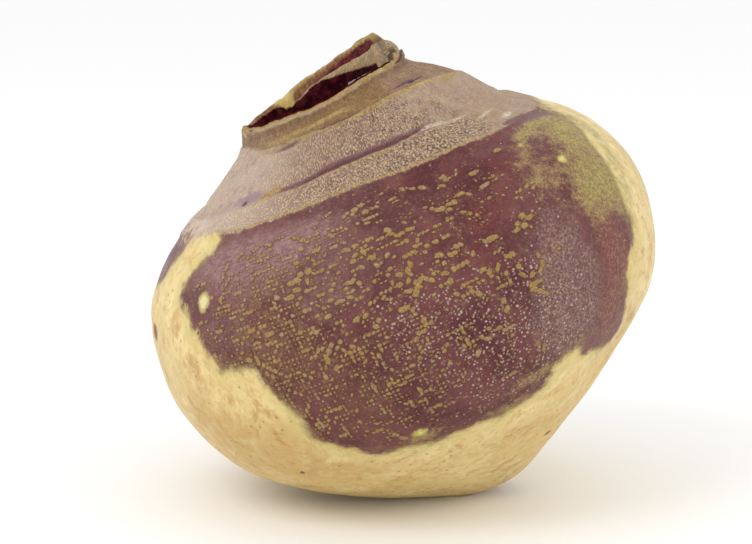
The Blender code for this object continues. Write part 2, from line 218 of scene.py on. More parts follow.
# How strongly each golden or coloured stretch of the neck and crown shows, all round: azimuth, share
STRENGTHS = {
    "band_gold": (
        (-180, 0), (-143, 0), (-136, 0.6), (-128, 0.9), (-110, 1), (-90, 0.85), (-60, 1), (-45, 0.8),
        (-33, 0.4), (-20, 0.2), (0, 0.2), (40, 0.6), (90, 1), (130, 0.8), (160, 0.1),
    ),
    "top_gold": (
        (-180, 0), (-134, 0), (-126, 0.7), (-114, 0.6), (-106, 0.5), (-90, 0.8), (-60, 0.9), (-48, 0.5),
        (-25, 0.3), (0, 0.1), (50, 0.5), (100, 0.7), (140, 0.2),
    ),
    "collar_gold": (
        (-180, 0), (-150, 0.1), (-128, 0.6), (-112, 0.9), (-90, 0.8), (-80, 0.9), (-72, 1), (-40, 1),
        (-25, 0.9), (-10, 0.4), (20, 0.1), (60, 0.6), (110, 0.4), (150, 0.1),
    ),
    "shelf_gold": (
        (-180, 0), (-140, 0), (-128, 0.7), (-105, 0.8), (-94, 0.9), (-84, 1), (-77, 0.8), (-72, 0), (30, 0),
        (70, 0.6), (110, 0.6), (140, 0),
    ),
    "lip_gold": (
        (-180, 0.6), (-160, 0.5), (-148, 0.1), (-110, 0.1), (-85, 0.4), (-68, 0.8), (-26, 0.8), (-18, 0.2),
        (0, 0.2), (20, 0.4), (32, 0.9), (48, 1), (60, 0.75), (72, 0.5), (90, 0.6), (108, 0.9), (124, 1),
        (130, 0.7), (137, 0.15), (150, 0.05), (162, 0.1), (170, 0.6),
    ),
    "lip_strip": (
        (-180, 0), (-155, 0.3), (-138, 0.8), (-90, 0.9), (-70, 0.5), (-50, 0.15), (-20, 0), (60, 0.4),
        (140, 0.3),
    ),
    "lip_dark": (
        (-180, 0), (-156, 0), (-151, 1), (-147, 0.4), (-144, 0), (-28, 0), (-22, 1), (-6, 1), (-2, 0),
        (14, 0), (22, 0.8), (27, 0.8), (33, 0), (170, 0),
    ),
    "ring_tan": (
        (-180, 0), (-26, 0), (-21, 1), (100, 1), (115, 0.9), (120, 0), (170, 0),
    ),
    "red_gap": (
        (-180, 0.6), (-150, 0.5), (-100, 0.6), (-30, 0.4), (-15, 0), (8, 0), (18, 0.7), (28, 1), (78, 1),
        (88, 0.45), (98, 0), (125, 0), (160, 0.5),
    ),
    "lobe": (
        (-180, 0), (-24, 0), (-18, 0.8), (2, 1), (16, 1), (24, 0.6), (34, 0), (170, 0),
    ),
    "hollow_edge": (
        (-180, 1.7), (-166, 1.5), (-156, 0.7), (-148, 0.15), (-40, 0.1), (-28, 0.2), (-23, 3), (-18, 8.6),
        (-8, 9.4), (0, 10.4), (12, 11), (40, 10.8), (58, 10.3), (72, 9.8), (83, 9.3), (93, 8.6), (110, 8.8),
        (115, 8.2), (118, 5), (124, 4.2), (127, 3.4), (131, 2.9), (140, 2.6), (150, 2.4), (165, 2.1),
    ),
    "brown_collar": (
        (-180, 0.2), (-150, 0.15), (-125, 0.4), (-108, 0.7), (-90, 0.9), (-62, 1), (-52, 0.7), (-42, 0.3),
        (-20, 0.15), (0, 0.3), (60, 0.8), (120, 0.5),
    ),
    "neck_grains": (
        (-180, 0.9), (-150, 0.95), (-132, 1), (-116, 1.05), (-100, 1.1), (-70, 1.1), (-58, 0.85), (-48, 0.6),
        (-30, 0.45), (0, 0.35), (50, 0.5), (90, 1.1), (120, 0.8), (150, 0.6),
    ),
    "band_grains": (
        (-180, 0.5), (-150, 0.6), (-138, 0.8), (-120, 1), (-50, 1.1), (-40, 0.75), (-32, 0.4), (-20, 0.25),
        (20, 0.3), (60, 0.8), (110, 1), (140, 0.6),
    ),
    "pit_contrast": (
        (-180, 0), (-130, 0.1), (-110, 0.35), (-85, 0.55), (-62, 0.95), (-45, 1), (-37, 0.6), (-30, 0.15),
        (0, 0.1), (60, 0.4), (100, 0.6), (140, 0.2),
    ),
    "groove": (
        (-180, 0), (-124, 0), (-114, 0.45), (-104, 0.8), (-96, 1), (-60, 1), (-52, 0.8), (-44, 0), (40, 0),
        (60, 1), (110, 1), (130, 0),
    ),
    "groove_width": (
        (-180, 0.4), (-120, 0.45), (-105, 0.75), (-97, 0.8), (-92, 1.2), (-86, 1.35), (-80, 0.95),
        (-74, 1.05), (-66, 1.15), (-60, 0.75), (-50, 0.8), (40, 0.5), (85, 0.9), (130, 0.5),
    ),
    "edge_sharpness": (
        (-180, 0.12), (-152, 0.14), (-140, 0.4), (-130, 1), (-20, 1), (-8, 0.3), (4, 0.2), (20, 0.4), (45, 1),
        (135, 1), (155, 0.3),
    ),
}

# Azimuths of the neck's pale left side and ochre right side, and of the lip's brightest stretch, where light
# is painted on
LEFT = 178.0
RIGHT = 0.0
PAINTED_LIT_SIDE = 121.0
PAINTED_LIT_HALF_TURN = 9.0
# The colour of the cut root end fades from inside its rim to outside it
ROOT_END_MARGINS = (-1.5, 1.0)
# The half width of the groove's dark stain where its mask of the width is 1
GROOVE_STAIN = 0.8
# What a mask that counts from the crown's lip says of the skin outside it
OUTSIDE = -9.0

# Where purple skin gives way to cream, all round: bearing, height
PURPLE_EDGE = (
    (-180, 79), (-170, 79.8), (-163, 82.4), (-159.5, 85), (-154, 88.2), (-146, 89), (-140.5, 88),
    (-137, 84.5), (-142, 83), (-147, 80.4), (-148.6, 78.2), (-145, 73), (-141, 68), (-139, 63), (-136, 60),
    (-127.5, 58), (-126, 53.7), (-124.4, 48.9), (-123.3, 44), (-124.3, 38.9), (-122, 35.9), (-119, 33.1),
    (-115.5, 28.8), (-109, 27.3), (-104, 25.9), (-95, 25.1), (-88.7, 24.8), (-78.8, 24.1), (-71, 24.9),
    (-66.8, 25.7), (-61.6, 29.6), (-54.9, 30.5), (-49.5, 27.6), (-43.4, 25.6), (-34.8, 27.3), (-35.3, 34.1),
    (-34.4, 39.6), (-27.2, 48.3), (-26.8, 52.4), (-25.5, 58.6), (-24, 62.5), (-21.5, 66.5), (-17.5, 70.5),
    (-13.5, 73.8), (-11, 76.2), (-9, 78.8), (-4, 81), (6, 81.8), (22, 81), (34, 77), (43, 69), (50, 58),
    (59, 50), (66, 40), (76, 36), (90, 33.5), (104, 35.5), (114, 34), (124, 40), (131, 49), (143, 55),
    (150, 65), (162, 70), (170, 77.5), (180, 79),
)
EDGE_STEPS = 260

# Patches of colour, each with its soft spots: bearing, height, half width, half height, strength
PATCHES = {
    # The mauve patches are partly the skin's own mauve and partly a painted sheen of reflected light
    "mauve": (
        (-134, 82, 13, 6, 0.9), (-121, 78, 14, 7, 0.9), (-108, 80, 12, 5, 0.7), (-130, 69, 8, 7, 0.5),
        (-104, 68, 10, 6, 0.5), (-157, 82, 5, 4, 1), (-174, 82, 10, 4, 0.7), (95, 78, 20, 6, 0.7),
        (130, 72, 12, 9, 0.5),
    ),
    "bloom": (
        (-54, 52, 8, 9, 1), (-51, 43, 8, 12, 0.9), (-50, 62, 6, 5, 0.25), (-57, 36, 8, 7, 0.7),
        (-62, 41, 7, 8, 0.6), (72, 60, 11, 14, 0.9), (112, 46, 12, 10, 0.6),
    ),
    "dots": (
        (-82, 48, 18, 11, 1), (-68, 46, 11, 12, 1), (-90, 58, 9, 8, 0.7), (-76, 33, 14, 7, 0.7),
        (-58, 42, 8, 11, 0.9), (-66, 36, 9, 8, 0.8), (-56, 66, 8, 5, 0.5), (-72, 70, 6, 4, 0.4),
        (90, 50, 22, 16, 0.8),
    ),
    "red": (
        (-41, 43, 4, 12, 0.9), (-44, 31, 4, 7, 0.7), (-65, 70, 5, 4, 0.9), (-66, 65, 4, 4, 0.8),
        (-93, 72, 5, 3, 0.5), (-79, 71, 6, 4, 0.5), (-136, 84, 3, 3.2, 1), (-144, 81, 3, 3, 0.8),
        (-124, 47, 3, 12, 0.5), (-112, 30, 7, 3, 0.6), (60, 48, 5, 9, 0.7), (122, 44, 6, 7, 0.7),
        (-64, 57, 5, 4, 0.5), (-100, 50, 7, 6, 0.35),
    ),
    "deep": (
        (-73, 81, 9, 3.2, 1.1), (-61, 77, 9, 5, 1.1), (-50, 76, 6, 4, 0.8), (-80, 48, 9, 7, 0.75),
        (-76, 39, 10, 6, 0.7), (-98, 40, 10, 8, 0.7), (-67, 54, 7, 9, 0.6), (-92, 66, 7, 5, 0.5),
        (-68, 65, 12, 8, 0.7), (-120, 45, 9, 7, 0.5), (100, 70, 14, 7, 0.7), (80, 42, 12, 8, 0.6),
    ),
    "warm": (
        (-38, 46, 6, 14, 1.3), (-44, 33, 5, 7, 0.9), (118, 50, 6, 9, 0.6),
    ),
    "olive": (
        (-39, 85.6, 4.5, 1.4, 0.8), (-33, 84.2, 4.5, 1.2, 0.9), (-27, 83, 4, 1, 0.7), (-24, 74, 8, 5, 1.2),
        (-32, 65, 7, 7, 1), (-29, 57, 4, 6, 0.9), (-46, 69, 7, 4, 0.75), (-38, 60.5, 6, 4, 0.9),
        (-36, 78.5, 6, 1.8, 1), (-24, 79, 8, 2, 1), (-21, 95.4, 5.5, 1.9, 1.2), (-44, 75, 6, 3, 0.55),
        (-38, 54.5, 5, 3, 0.5), (-17, 74, 5, 5, 1), (-20, 69, 5, 5, 1.1), (-26, 61, 3, 6, 1),
        (-68, 30, 7, 2.5, 0.8), (-77, 25.5, 5, 2, 0.8), (-101, 28.5, 5, 2.4, 0.8), (48, 66, 8, 7, 1),
        (150, 66, 8, 6, 0.8), (-139, 62, 6, 3, 0.5),
    ),
    "moss": (
        (-10.5, 75, 4, 4, 0.9), (-8, 79.5, 6, 1.8, 1), (-12.5, 69, 4, 5, 0.9), (-18, 63, 3.6, 5, 0.9),
        (-23.5, 57, 3.4, 5, 0.8), (-1, 81.5, 6, 1.2, 0.6), (-29, 52, 2.4, 4, 0.5), (44, 62, 3, 8, 0.8),
    ),
    "sap": (
        (-35.9, 70.1, 1.6, 1.1, 1.6), (-40.5, 76.8, 3.2, 1.1, 0.85), (-22, 75, 3, 3, 0.6),
        (-30.5, 63, 3, 3, 0.5), (-100.8, 29.9, 2.2, 1.5, 1.3), (-76.8, 23.7, 1.6, 1, 0.9),
        (46, 70, 4, 3, 0.8),
    ),
    "ochre": (
        (-30, 22, 5, 12, 0.8), (-22, 27, 4, 8, 0.5), (-145, 50, 14, 16, 0.5), (-130, 30, 12, 8, 0.6),
        (-105, 17, 18, 6, 0.5), (-168, 45, 12, 16, 0.5), (20, 30, 14, 12, 0.5), (150, 30, 18, 14, 0.6),
        (80, 18, 24, 7, 0.5), (-60, 14, 10, 5, 0.5),
    ),
    "dirt": (
        (-137, 29.5, 0.9, 0.7, 1.3), (-52.5, 9.5, 1.6, 1.2, 1), (-30.6, 29.7, 0.8, 3, 0.9),
        (-168.2, 70.3, 2.8, 2.4, 1.3), (-47, 11, 0.9, 1.3, 0.7), (28, 52, 1.2, 0.9, 0.9),
        (170, 38, 1, 1.4, 0.9), (12, 24, 0.8, 2.2, 0.7), (-115, 14, 0.8, 0.6, 0.8), (140, 26, 0.9, 2, 0.8),
        (55, 30, 0.8, 0.7, 0.9),
    ),
    "pale": (
        (-138.5, 75.3, 2.2, 2.4, 1.4), (142, 62, 2, 2.4, 1.2), (56, 60, 1.6, 2.6, 1.1),
    ),
    "lavender": (
        (-127.6, 91.3, 4, 1.4, 0.9), (-135, 91.3, 5, 1.5, 1), (-146, 89.8, 6, 1.6, 0.6),
        (-118.3, 98, 3.6, 1.1, 0.9), (-104.5, 95.6, 4, 0.9, 0.45), (-40, 99.6, 4, 1.3, 0.5),
        (-59, 95.2, 3.2, 0.9, 0.5), (60, 91, 8, 1.6, 0.8), (-24, 91.5, 8, 1.4, 0.3), (150, 93, 9, 1.5, 0.6),
    ),
    "lens": (
        (-33.5, 81.6, 3, 0.7, 1.2), (-28, 80.8, 3.6, 1.2, 1.5), (-21, 79.6, 4, 1.2, 1.5),
        (-16, 78.7, 2.5, 0.7, 1.2),
    ),
    "stroke": (
        (-121.3, 91, 3, 0.55, 1.4), (-124.4, 90.7, 1.4, 0.4, 1), (-118, 91.5, 1.6, 0.45, 1),
    ),
    "tan": (
        (-134, 37, 13, 11, 1.15), (-150, 48, 10, 18, 0.9), (-120, 24, 10, 6, 0.6), (-30, 40, 6, 12, 0.6),
        (0, 45, 22, 26, 0.7), (160, 40, 24, 20, 0.8), (-165, 66, 10, 12, 0.5),
    ),
    "worms": (
        (-126, 67, 14, 12, 1), (-116, 57, 11, 9, 0.9), (-101, 46, 14, 9, 0.6), (-112, 76, 12, 6, 0.5),
        (100, 60, 26, 14, 0.7),
    ),
    "brown": (
        (-122, 58, 14, 12, 0.4), (-108, 42, 12, 10, 0.6), (-60, 68, 8, 5, 0.4), (100, 45, 20, 10, 0.6),
    ),
    "shade": (
        (-117.5, 97.8, 4.5, 0.7, 0.5), (-112, 98.2, 3, 0.5, 0.35), (-81.5, 98.4, 3.6, 0.8, 1.2),
        (-90, 98.8, 2.4, 0.45, 0.7), (-97, 98.9, 2.4, 0.35, 0.7), (-119.5, 98.6, 2, 0.4, 0.5),
        (80, 99.4, 4, 0.5, 1),
    ),
    "fringe_white": (
        (-56.1, 89.2, 2.8, 1.2, 1.5), (-52, 88.6, 2.6, 1.1, 1.3), (-45, 87.4, 6, 0.7, 0.9),
        (-36, 85.2, 5, 0.6, 0.8), (-29, 82.9, 3, 0.8, 1.1), (100, 90, 5, 0.8, 0.9),
    ),
    "rust": (
        (-10.8, 88.1, 2.6, 0.7, 1), (-66, 97.2, 2, 0.5, 0.8), (-92, 99.9, 2, 0.5, 0.6),
        (70, 96, 2.4, 0.8, 0.9),
    ),
}
# The buds and pits of the neck, dark and a little sunk: bearing, height, half width, half height, depth
EYES = (
    (-134.5, 90.8, 0.7, 0.6, 0.15), (-140.5, 90, 0.6, 0.4, 0.12), (-37.7, 98.9, 1.5, 0.75, 0.5),
    (-44, 99.3, 3, 0.4, 0.25), (-31.5, 98.7, 2, 0.35, 0.2), (64, 90.5, 1.2, 0.9, 0.4),
    (155, 92.8, 1.1, 0.8, 0.4),
)

# The radius at which streaks and cells of each stretch have their true size round the root
BELLY_RADIUS = 58.0
NECK_RADIUS = 36.0
COLLAR_RADIUS = 24.0
CROWN_RADIUS = 18.0
# Patches of colour on the neck, each over the one before: mask, colour, strength, where the mask starts to
# show and is full, and the reach, size, detail and roughness of its edge
NECK_PATCHES = (
    ("lavender", (0.32, 0.215, 0.265), 0.75, 0.1, 1.3, (0.4, 2, 5, 0.7)),
    ("olive", (0.32, 0.215, 0.065), 0.7, 0.3, 1.1, (0.4, 2.2, 6, 0.72)),
    ("rust", (0.4, 0.2, 0.06), 0.7, 0.45, 0.9, (0.4, 0.9, 4, 0.7)),
    ("groove", (0.195, 0.088, 0.095), 0.9, 0.12, 0.6, (0.2, 0.9, 5, 0.7)),
    ("groove", (0.125, 0.042, 0.052), 0.85, 0.65, 0.98, (0.25, 1.4, 4, 0.7)),
)
# The golden edges of the neck: the mask of the height above each, the mask of its strength, its lowest and
# highest point, and how much of it the gaps take
GOLDEN_EDGES = (
    ("above_top", "top_gold", -0.7, 0.8, 1.0),
    ("above_collar", "collar_gold", -1.15, 0.55, 0.7),
    ("above_band", "band_gold", -0.05, 0.8, 0.6),
)
GOLD_FADE = 0.35
CORK_SPECULAR = 0.35

FLECK_SEED = 11
# How near two flecks may lie, as a share of their mean length, and how far inside the purple skin they start.
# That skin's limit counts as lying one more margin below the band
FLECK_ROOM = 0.62
FLECK_MARGIN = 1.2
BAND_MARGIN = 1.2
# The height of the flecks, which those of this length reach, and how uneven it is
FLECK_HEIGHT = 0.42
FULL_HEIGHT_LENGTH = 2.5
FLECK_ROUGHNESS = 0.06
# How square the ends of a fleck are, from 2 for round, and how lumpy its outline is. It has two lumps or more
# to the round, but fewer than the finest
FLECK_SQUARENESS = 2.5
FLECK_LUMPS = 0.075
FINEST_LUMPS = 6
# Flecks with a length of this many widths are bent, by about this share of their length
SLENDER = 1.9
FLECK_BEND = 0.07
# The domes of small, middling and large flecks: up to what length, how many sides, and the levels of the
# dome as shares of its reach and height, with how much of the rim's painted shade each level takes
FLECK_SHAPES = (
    (1.1, 8, (
        (0, 1, 0), (0.6, 0.7, 0.3), (0.96, 0.05, 1), (1.06, -0.4, 1), (0, -1, 1),
    )),
    (1.9, 11, (
        (0, 1, 0), (0.46, 0.86, 0.05), (0.76, 0.48, 0.45), (0.98, 0.04, 1), (1.07, -0.4, 1), (0, -1, 1),
    )),
    (math.inf, 16, (
        (0, 1, 0), (0.36, 0.95, 0), (0.62, 0.78, 0.1), (0.82, 0.45, 0.5), (0.98, 0.04, 1), (1.06, -0.4, 1),
        (0, -1, 1),
    )),
)
# A fleck longer than this many widths is a chain of beads. They lie about this many widths apart and are at
# most so wide, and their own lengths and widths are drawn from these shares of that width
CHAIN_FROM = 1.5
BEAD_STEP = 1.05
BEAD_LIMIT = 1.6
BEAD_LENGTHS = (1.0, 1.6)
BEAD_WIDTHS = (0.7, 1.1)
# How the flecks of a field are drawn. They lie in rows of one to three that run along their slant
FIELD_SPREAD = 0.7
FIELD_LIMIT = 1.5
LONGEST_ROW = 3
LENGTH_SHARES = (0.3, 1.0)
LENGTH_BIAS = 1.5
WIDTH_SHARES = (0.5, 0.9)
WIDEST_BASE = 0.5
WIDEST_SHARE = 0.45
ROW_STEP = 0.6
ROW_GAP = (0.4, 1.1)
SLANT_SCATTER = 14.0
PALENESS_SCATTER = 0.15
STRIKING_PALENESS = 0.2
PALE_SPOT_ROOM = 4.0
# The flecks that catch the eye at the right of the front: bearing, height, length, width, slant off the ring
STRIKING_FLECKS = (
    (-69.8, 73.6, 2.8, 1.8, -20), (-66.3, 74.2, 4.4, 1.3, -18), (-67.5, 70.3, 4, 1.1, -28),
    (-74.2, 71.2, 5.6, 1.2, 7), (-83.1, 73, 4.2, 1.6, 2), (-79.2, 68.5, 2.8, 2, 12),
    (-75.9, 68.5, 2.3, 1.3, -3), (-84.5, 68.5, 3.8, 1.3, -24), (-66.8, 63.6, 4.4, 1.9, -10),
    (-58.2, 63.6, 5.2, 2.4, 8), (-65.3, 58.6, 2.8, 1.8, -32), (-71.8, 58.6, 2.3, 1.8, 5),
    (-69.6, 57.6, 2.8, 2.2, 30), (-64.2, 54.5, 2.9, 1.5, -57), (-58.9, 54.5, 3.4, 1.4, 80),
    (-61, 52.4, 3.4, 1.4, 17), (-62, 50.4, 4.6, 2, 3), (-62, 48.3, 4.4, 1.6, -27), (-67.2, 54.6, 3, 2.2, 60),
    (-70, 53.4, 3.4, 1.1, -5), (-85.9, 61.6, 4, 2.4, 27), (-73.2, 62, 3.6, 1.4, 50),
    (-75.6, 61.4, 2.4, 1.3, 20),
)
# Where the other flecks are scattered: bearing, height, half width, half height, number of rows, longest
# fleck, slant off the ring, its spread, paleness
FLECK_FIELDS = (
    (-91, 79, 28, 4.5, 30, 3, -3, 14, 0.45), (-99, 71, 30, 6, 80, 3.2, -8, 18, 0.4),
    (-107, 61, 25, 8, 115, 3, 4, 45, 0.3), (-108, 47, 18, 8.5, 130, 2.4, 50, 40, 0.3),
    (-74, 48, 14, 8, 14, 2.8, 0, 60, 0.3), (-97, 35, 24, 5, 10, 3, -40, 40, 0.3),
    (-104, 76, 16, 9, 80, 2.4, 4, 12, 0.75), (-125, 72, 12, 9, 110, 2, 6, 24, 0.55),
    (-72, 62, 17, 12, 40, 1.4, 5, 40, 0.3), (-101, 50, 19, 14, 210, 1.6, 40, 60, 0.5),
    (-120, 57, 12, 15, 190, 1.9, 20, 60, 0.4), (-80, 40, 20, 12, 90, 1.2, 0, 60, 0.7),
    (-60, 72, 16, 6, 60, 1, 0, 40, 0.2), (92, 58, 34, 18, 260, 2.2, 5, 40, 0.45),
    (125, 62, 16, 10, 60, 2, 5, 30, 0.8),
)

FLOOR_HALF = 6.0
FLOOR_WHITE = 0.95
FLOOR_ROUGHNESS = 0.7
LIGHT_AIM = (0.0, 0.0, 0.05)
# Each light: name, place and size in metres, power in watts
LIGHTS = (
    ("key", (-0.55, -0.55, 0.80), 0.55, 3.2),
    ("fill", (0.75, -0.45, 0.45), 0.7, 1.3),
)
WORLD_STRENGTH = 1.0
# The camera: its lens and sensor, how steeply it looks down, at what point, and how wide it sees there
LENS = 120.0
SENSOR = 36.0
ELEVATION = 10.0
AIM = (-6.42, 0.0, 54.24)
VIEW_WIDTH = 182.5


def between(p, q, start, end, t):
    """The point from p to q that t marks from start to end."""
    return p + (q - p) * (t - start) / (end - start)


def smooth_curve(stations):
    """A Catmull-Rom curve through the stations, paced by the square root of each chord so as not to loop."""
    points = np.array(stations, float)
    padded = np.vstack([2 * points[0] - points[1], points, 2 * points[-1] - points[-2]])
    curve = [points[0]]
    for a, b, c, d in zip(padded[:-3], padded[1:-2], padded[2:-1], padded[3:]):
        knots = np.cumsum([0.0] + [math.sqrt(np.linalg.norm(q - p)) for p, q in ((a, b), (b, c), (c, d))])
        for t in np.linspace(knots[1], knots[2], CURVE_SAMPLES + 1)[1:]:
            first = between(a, b, knots[0], knots[1], t)
            second = between(b, c, knots[1], knots[2], t)
            third = between(c, d, knots[2], knots[3], t)
            left = between(first, second, knots[0], knots[2], t)
            right = between(second, third, knots[1], knots[3], t)
            curve.append(between(left, right, knots[1], knots[2], t))
    return np.array(curve)


def distance_along(curve):
    """How far along the curve each of its points lies."""
    return np.concatenate([[0.0], np.cumsum(np.linalg.norm(np.diff(curve, axis=0), axis=1))])


def evenly(curve, rows):
    """The curve resampled to rows + 1 points at equal steps along it."""
    along = distance_along(curve)
    steps = np.linspace(0.0, along[-1], rows + 1)
    return np.stack([np.interp(steps, along, curve[:, k]) for k in (0, 1)], axis=1)


def meridian():
    """Height and radius of each mesh row, from the root end over the lip into the hollow.

    Also gives the number of rows before the first of the crown.
    """
    outside = smooth_curve(OUTLINE)
    crown = smooth_curve(OUTLINE[-1:] + CROWN)
    split = int(np.searchsorted(outside[:, 0], NECK_START))
    root_end = np.linspace((0.0, 0.0), OUTLINE[0], ROOT_END_ROWS + 1)
    belly = evenly(outside[: split + 1], BELLY_ROWS)
    neck = evenly(outside[split:], NECK_ROWS)
    inside = evenly(crown, CROWN_ROWS)
    rows = np.vstack([root_end[1:], belly[1:], neck[1:], inside[1:-1]])
    return rows, ROOT_END_ROWS + BELLY_ROWS + NECK_ROWS


def outward(rows):
    """The unit normal at each row, in the plane of the outline: its radius part and its height part."""
    slope = np.gradient(rows, axis=0)
    length = np.linalg.norm(slope, axis=1)
    return slope[:, 0] / length, -slope[:, 1] / length


def turn_from(middle, azimuth):
    """How far azimuth lies round from middle, from -180 to 180."""
    return (azimuth - middle + 180.0) % 360.0 - 180.0


def rise(value, start, end):
    """Climbs smoothly from 0 at start to 1 at end."""
    t = np.clip((value - start) / (end - start), 0.0, 1.0)
    return t * t * (3 - 2 * t)


def bell(value, middle, width):
    """1 where value is at middle, falling to 0 on either side."""
    return np.exp(-(((value - middle) / width) ** 2))


def facing(azimuth, side):
    """1 on that side of the root, falling smoothly to 0 on the other."""
    return 0.5 + 0.5 * np.cos(np.radians(azimuth - side))


def around(line, azimuth):
    """The height of a closed line at each azimuth. Its stations go once round, from -180."""
    first_azimuth, first_height = line[0]
    curve = smooth_curve(line + ((first_azimuth + 360.0, first_height),))
    return np.interp(turn_from(0.0, azimuth), curve[:, 0], curve[:, 1])


def uneven(points, size, height):
    """A slow random rise and fall over rows of points, at most about height either way."""
    return np.array([[height * noise.noise(Vector(point) / size) for point in row] for row in points])


def left_by_wear(azimuth):
    """The share of their thickness that the leaf bases keep at each azimuth."""
    return WORN_SHARE + (1 - WORN_SHARE) * facing(azimuth, THICK_SIDE)


def scar_relief(height, azimuth):
    """How far the old leaf bases and the rolled lip stand out of the neck."""
    side, middle, half_turn, half_height, roll = LIP_ROLL
    relief = roll * bell(turn_from(side, azimuth), 0.0, half_turn) * bell(height, middle, half_height)
    for line, thickness, taper in LEAF_SCARS:
        edge = around(line, azimuth)
        below_edge = 1 - rise(height, edge - SCAR_STEP / 2, edge + SCAR_STEP / 2)
        slope = np.exp(-np.maximum(edge - height, 0.0) / taper)
        relief += thickness * left_by_wear(azimuth) * below_edge * slope
    return relief


def band_relief(height, azimuth):
    """How far the corky band stands out, and the groove above it sinks in, as a negative height."""
    bottom = around(BAND_BOTTOM_LINE, azimuth)
    top = around(BAND_TOP_LINE, azimuth)
    groove = top + GROOVE_ABOVE
    band = rise(height, bottom - SCAR_STEP, bottom) * (1 - rise(height, top, groove))
    cut = GROOVE_DEPTH * bell(height, groove, GROOVE_WIDTH)
    return BAND_THICKNESS * left_by_wear(azimuth) * band - cut


def furrow_relief(height, azimuth, radius):
    """How far the two root furrows sink into the skin, as a negative height."""
    fade = (1 - rise(height, FURROW_FULL, FURROW_TOP)) * rise(height, 0.0, FURROW_END)
    relief = np.zeros_like(height)
    for middle, half_width, depth in FURROWS:
        across = np.radians(turn_from(middle, azimuth)) * radius
        relief -= depth * fade * bell(across, 0.0, half_width)
    return relief


def crown_lift(height, azimuth, radius, in_crown):
    """How far the crown's slant, torn lip, inner ring and lobe lift points. Negative lowers them."""
    slant = math.tan(math.radians(CROWN_SLANT)) * rise(height, SLANT_START, SLANT_FULL)
    lip = rise(height, LIP_FOOT, LIP_FULL) * rise(radius, LIP_INNER_FOOT, LIP_INNER_FULL)
    ring = in_crown * (1 - lip) * bell(radius, INNER_RING_RADIUS, INNER_RING_WIDTH)
    lip_lift = lip * (around(LIP_LINE, azimuth) - LIP_HEIGHT)
    ring_lift = ring * (around(INNER_RING_LINE, azimuth) - INNER_RING_HEIGHT)
    side, half_turn, middle, half_width, lift = LOBE
    lobe = in_crown * lift * bell(turn_from(side, azimuth), 0.0, half_turn) * bell(radius, middle, half_width)
    return slant * radius * np.cos(np.radians(azimuth)) + lip_lift + ring_lift + lobe


def lay_out():
    """Every mesh point of the skin by its place: azimuth, height, radius, and lengths along the outline."""
    rows, first_crown_row = meridian()
    along = distance_along(np.vstack([[0.0, 0.0], rows]))[1:]
    columns = turn_from(0.0, SEAM_SIDE + np.arange(COLUMNS) * 360.0 / COLUMNS)
    radial, axial = outward(rows)
    by_row = {
        "height": rows[:, 0], "radius": rows[:, 1], "along": along, "radial": radial, "axial": axial,
        "inward": along - along[first_crown_row - 1], "in_crown": np.arange(len(rows)) >= first_crown_row,
    }
    at = {name: np.repeat(values[:, None], COLUMNS, axis=1) for name, values in by_row.items()}
    at["azimuth"] = np.repeat(columns[None, :], len(rows), axis=0)
    at["outside_heights"] = rows[ROOT_END_ROWS:first_crown_row, 0]
    at["outside_along"] = along[ROOT_END_ROWS:first_crown_row]
    angle = np.radians(at["azimuth"])
    at["plain"] = np.stack([at["radius"] * np.cos(angle), at["radius"] * np.sin(angle), at["height"]], axis=2)
    at["ring"] = at["height"] + uneven(at["plain"], WOBBLE_SIZE, WOBBLE_HEIGHT)
    x = at["plain"][:, :, 0] + np.interp(at["height"], *zip(*SWAY))
    at["bearing"] = np.degrees(np.arctan2(at["plain"][:, :, 1] * DEPTH_SHARE, x))
    level = at["height"] + crown_lift(at["height"], at["azimuth"], at["radius"], at["in_crown"])
    at["level"] = np.where(at["in_crown"], at["height"], level)
    at["run"] = np.interp(at["level"], at["outside_heights"], at["outside_along"])
    return at


def along_at(at, height):
    """How far along the outline the outside of the skin reaches that height."""
    return np.interp(height, at["outside_heights"], at["outside_along"])


def grain(at, kind):
    """A random rise and fall over the skin. Its kind: height, size round the root, size along it, shift."""
    height, across, lengthwise, shift = kind
    angle = np.radians(at["azimuth"])
    x = GRAIN_RADIUS / across * np.cos(angle) + shift
    y = GRAIN_RADIUS / across * np.sin(angle)
    z = at["along"] / lengthwise
    flat = [noise.noise(point) for point in zip(x.ravel(), y.ravel(), z.ravel())]
    return height * np.reshape(flat, x.shape)


def spots(at, table):
    """Soft spots over the outside of the skin: bearing, height, half width, half height, strength of each."""
    total = np.zeros_like(at["height"])
    for bearing, height, half_width, half_height, strength in table:
        across = np.radians(turn_from(bearing, at["bearing"])) * at["radius"]
        total += strength * bell(across, 0.0, half_width) * bell(at["run"], along_at(at, height), half_height)
    return np.where(at["in_crown"], 0.0, total)


def purple_depth(at):
    """How far inside the purple skin each point lies, negative out in the cream."""
    edge = evenly(smooth_curve(PURPLE_EDGE), EDGE_STEPS)
    places = np.stack([edge[:, 0], along_at(at, edge[:, 1])], axis=1)
    nearest = np.full(at["run"].shape, np.inf)
    crossings = np.zeros(at["run"].shape, int)
    scale = np.radians(1.0) * np.maximum(at["radius"], 1.0)
    for (a, low), (b, high) in zip(places[:-1], places[1:]):
        start_x = turn_from(at["bearing"], a) * scale
        start_y = low - at["run"]
        run_x = (b - a) * scale
        run_y = high - low
        share = np.clip(-(start_x * run_x + start_y * run_y) / (run_x**2 + run_y**2 + 1e-9), 0.0, 1.0)
        nearest = np.minimum(nearest, np.hypot(start_x + share * run_x, start_y + share * run_y))
        if a != b:
            level = low + (at["bearing"] - a) / (b - a) * run_y
            crossings += ((a <= at["bearing"]) != (b <= at["bearing"])) & (level < at["run"])
    return np.where(crossings % 2 == 1, nearest, -nearest)


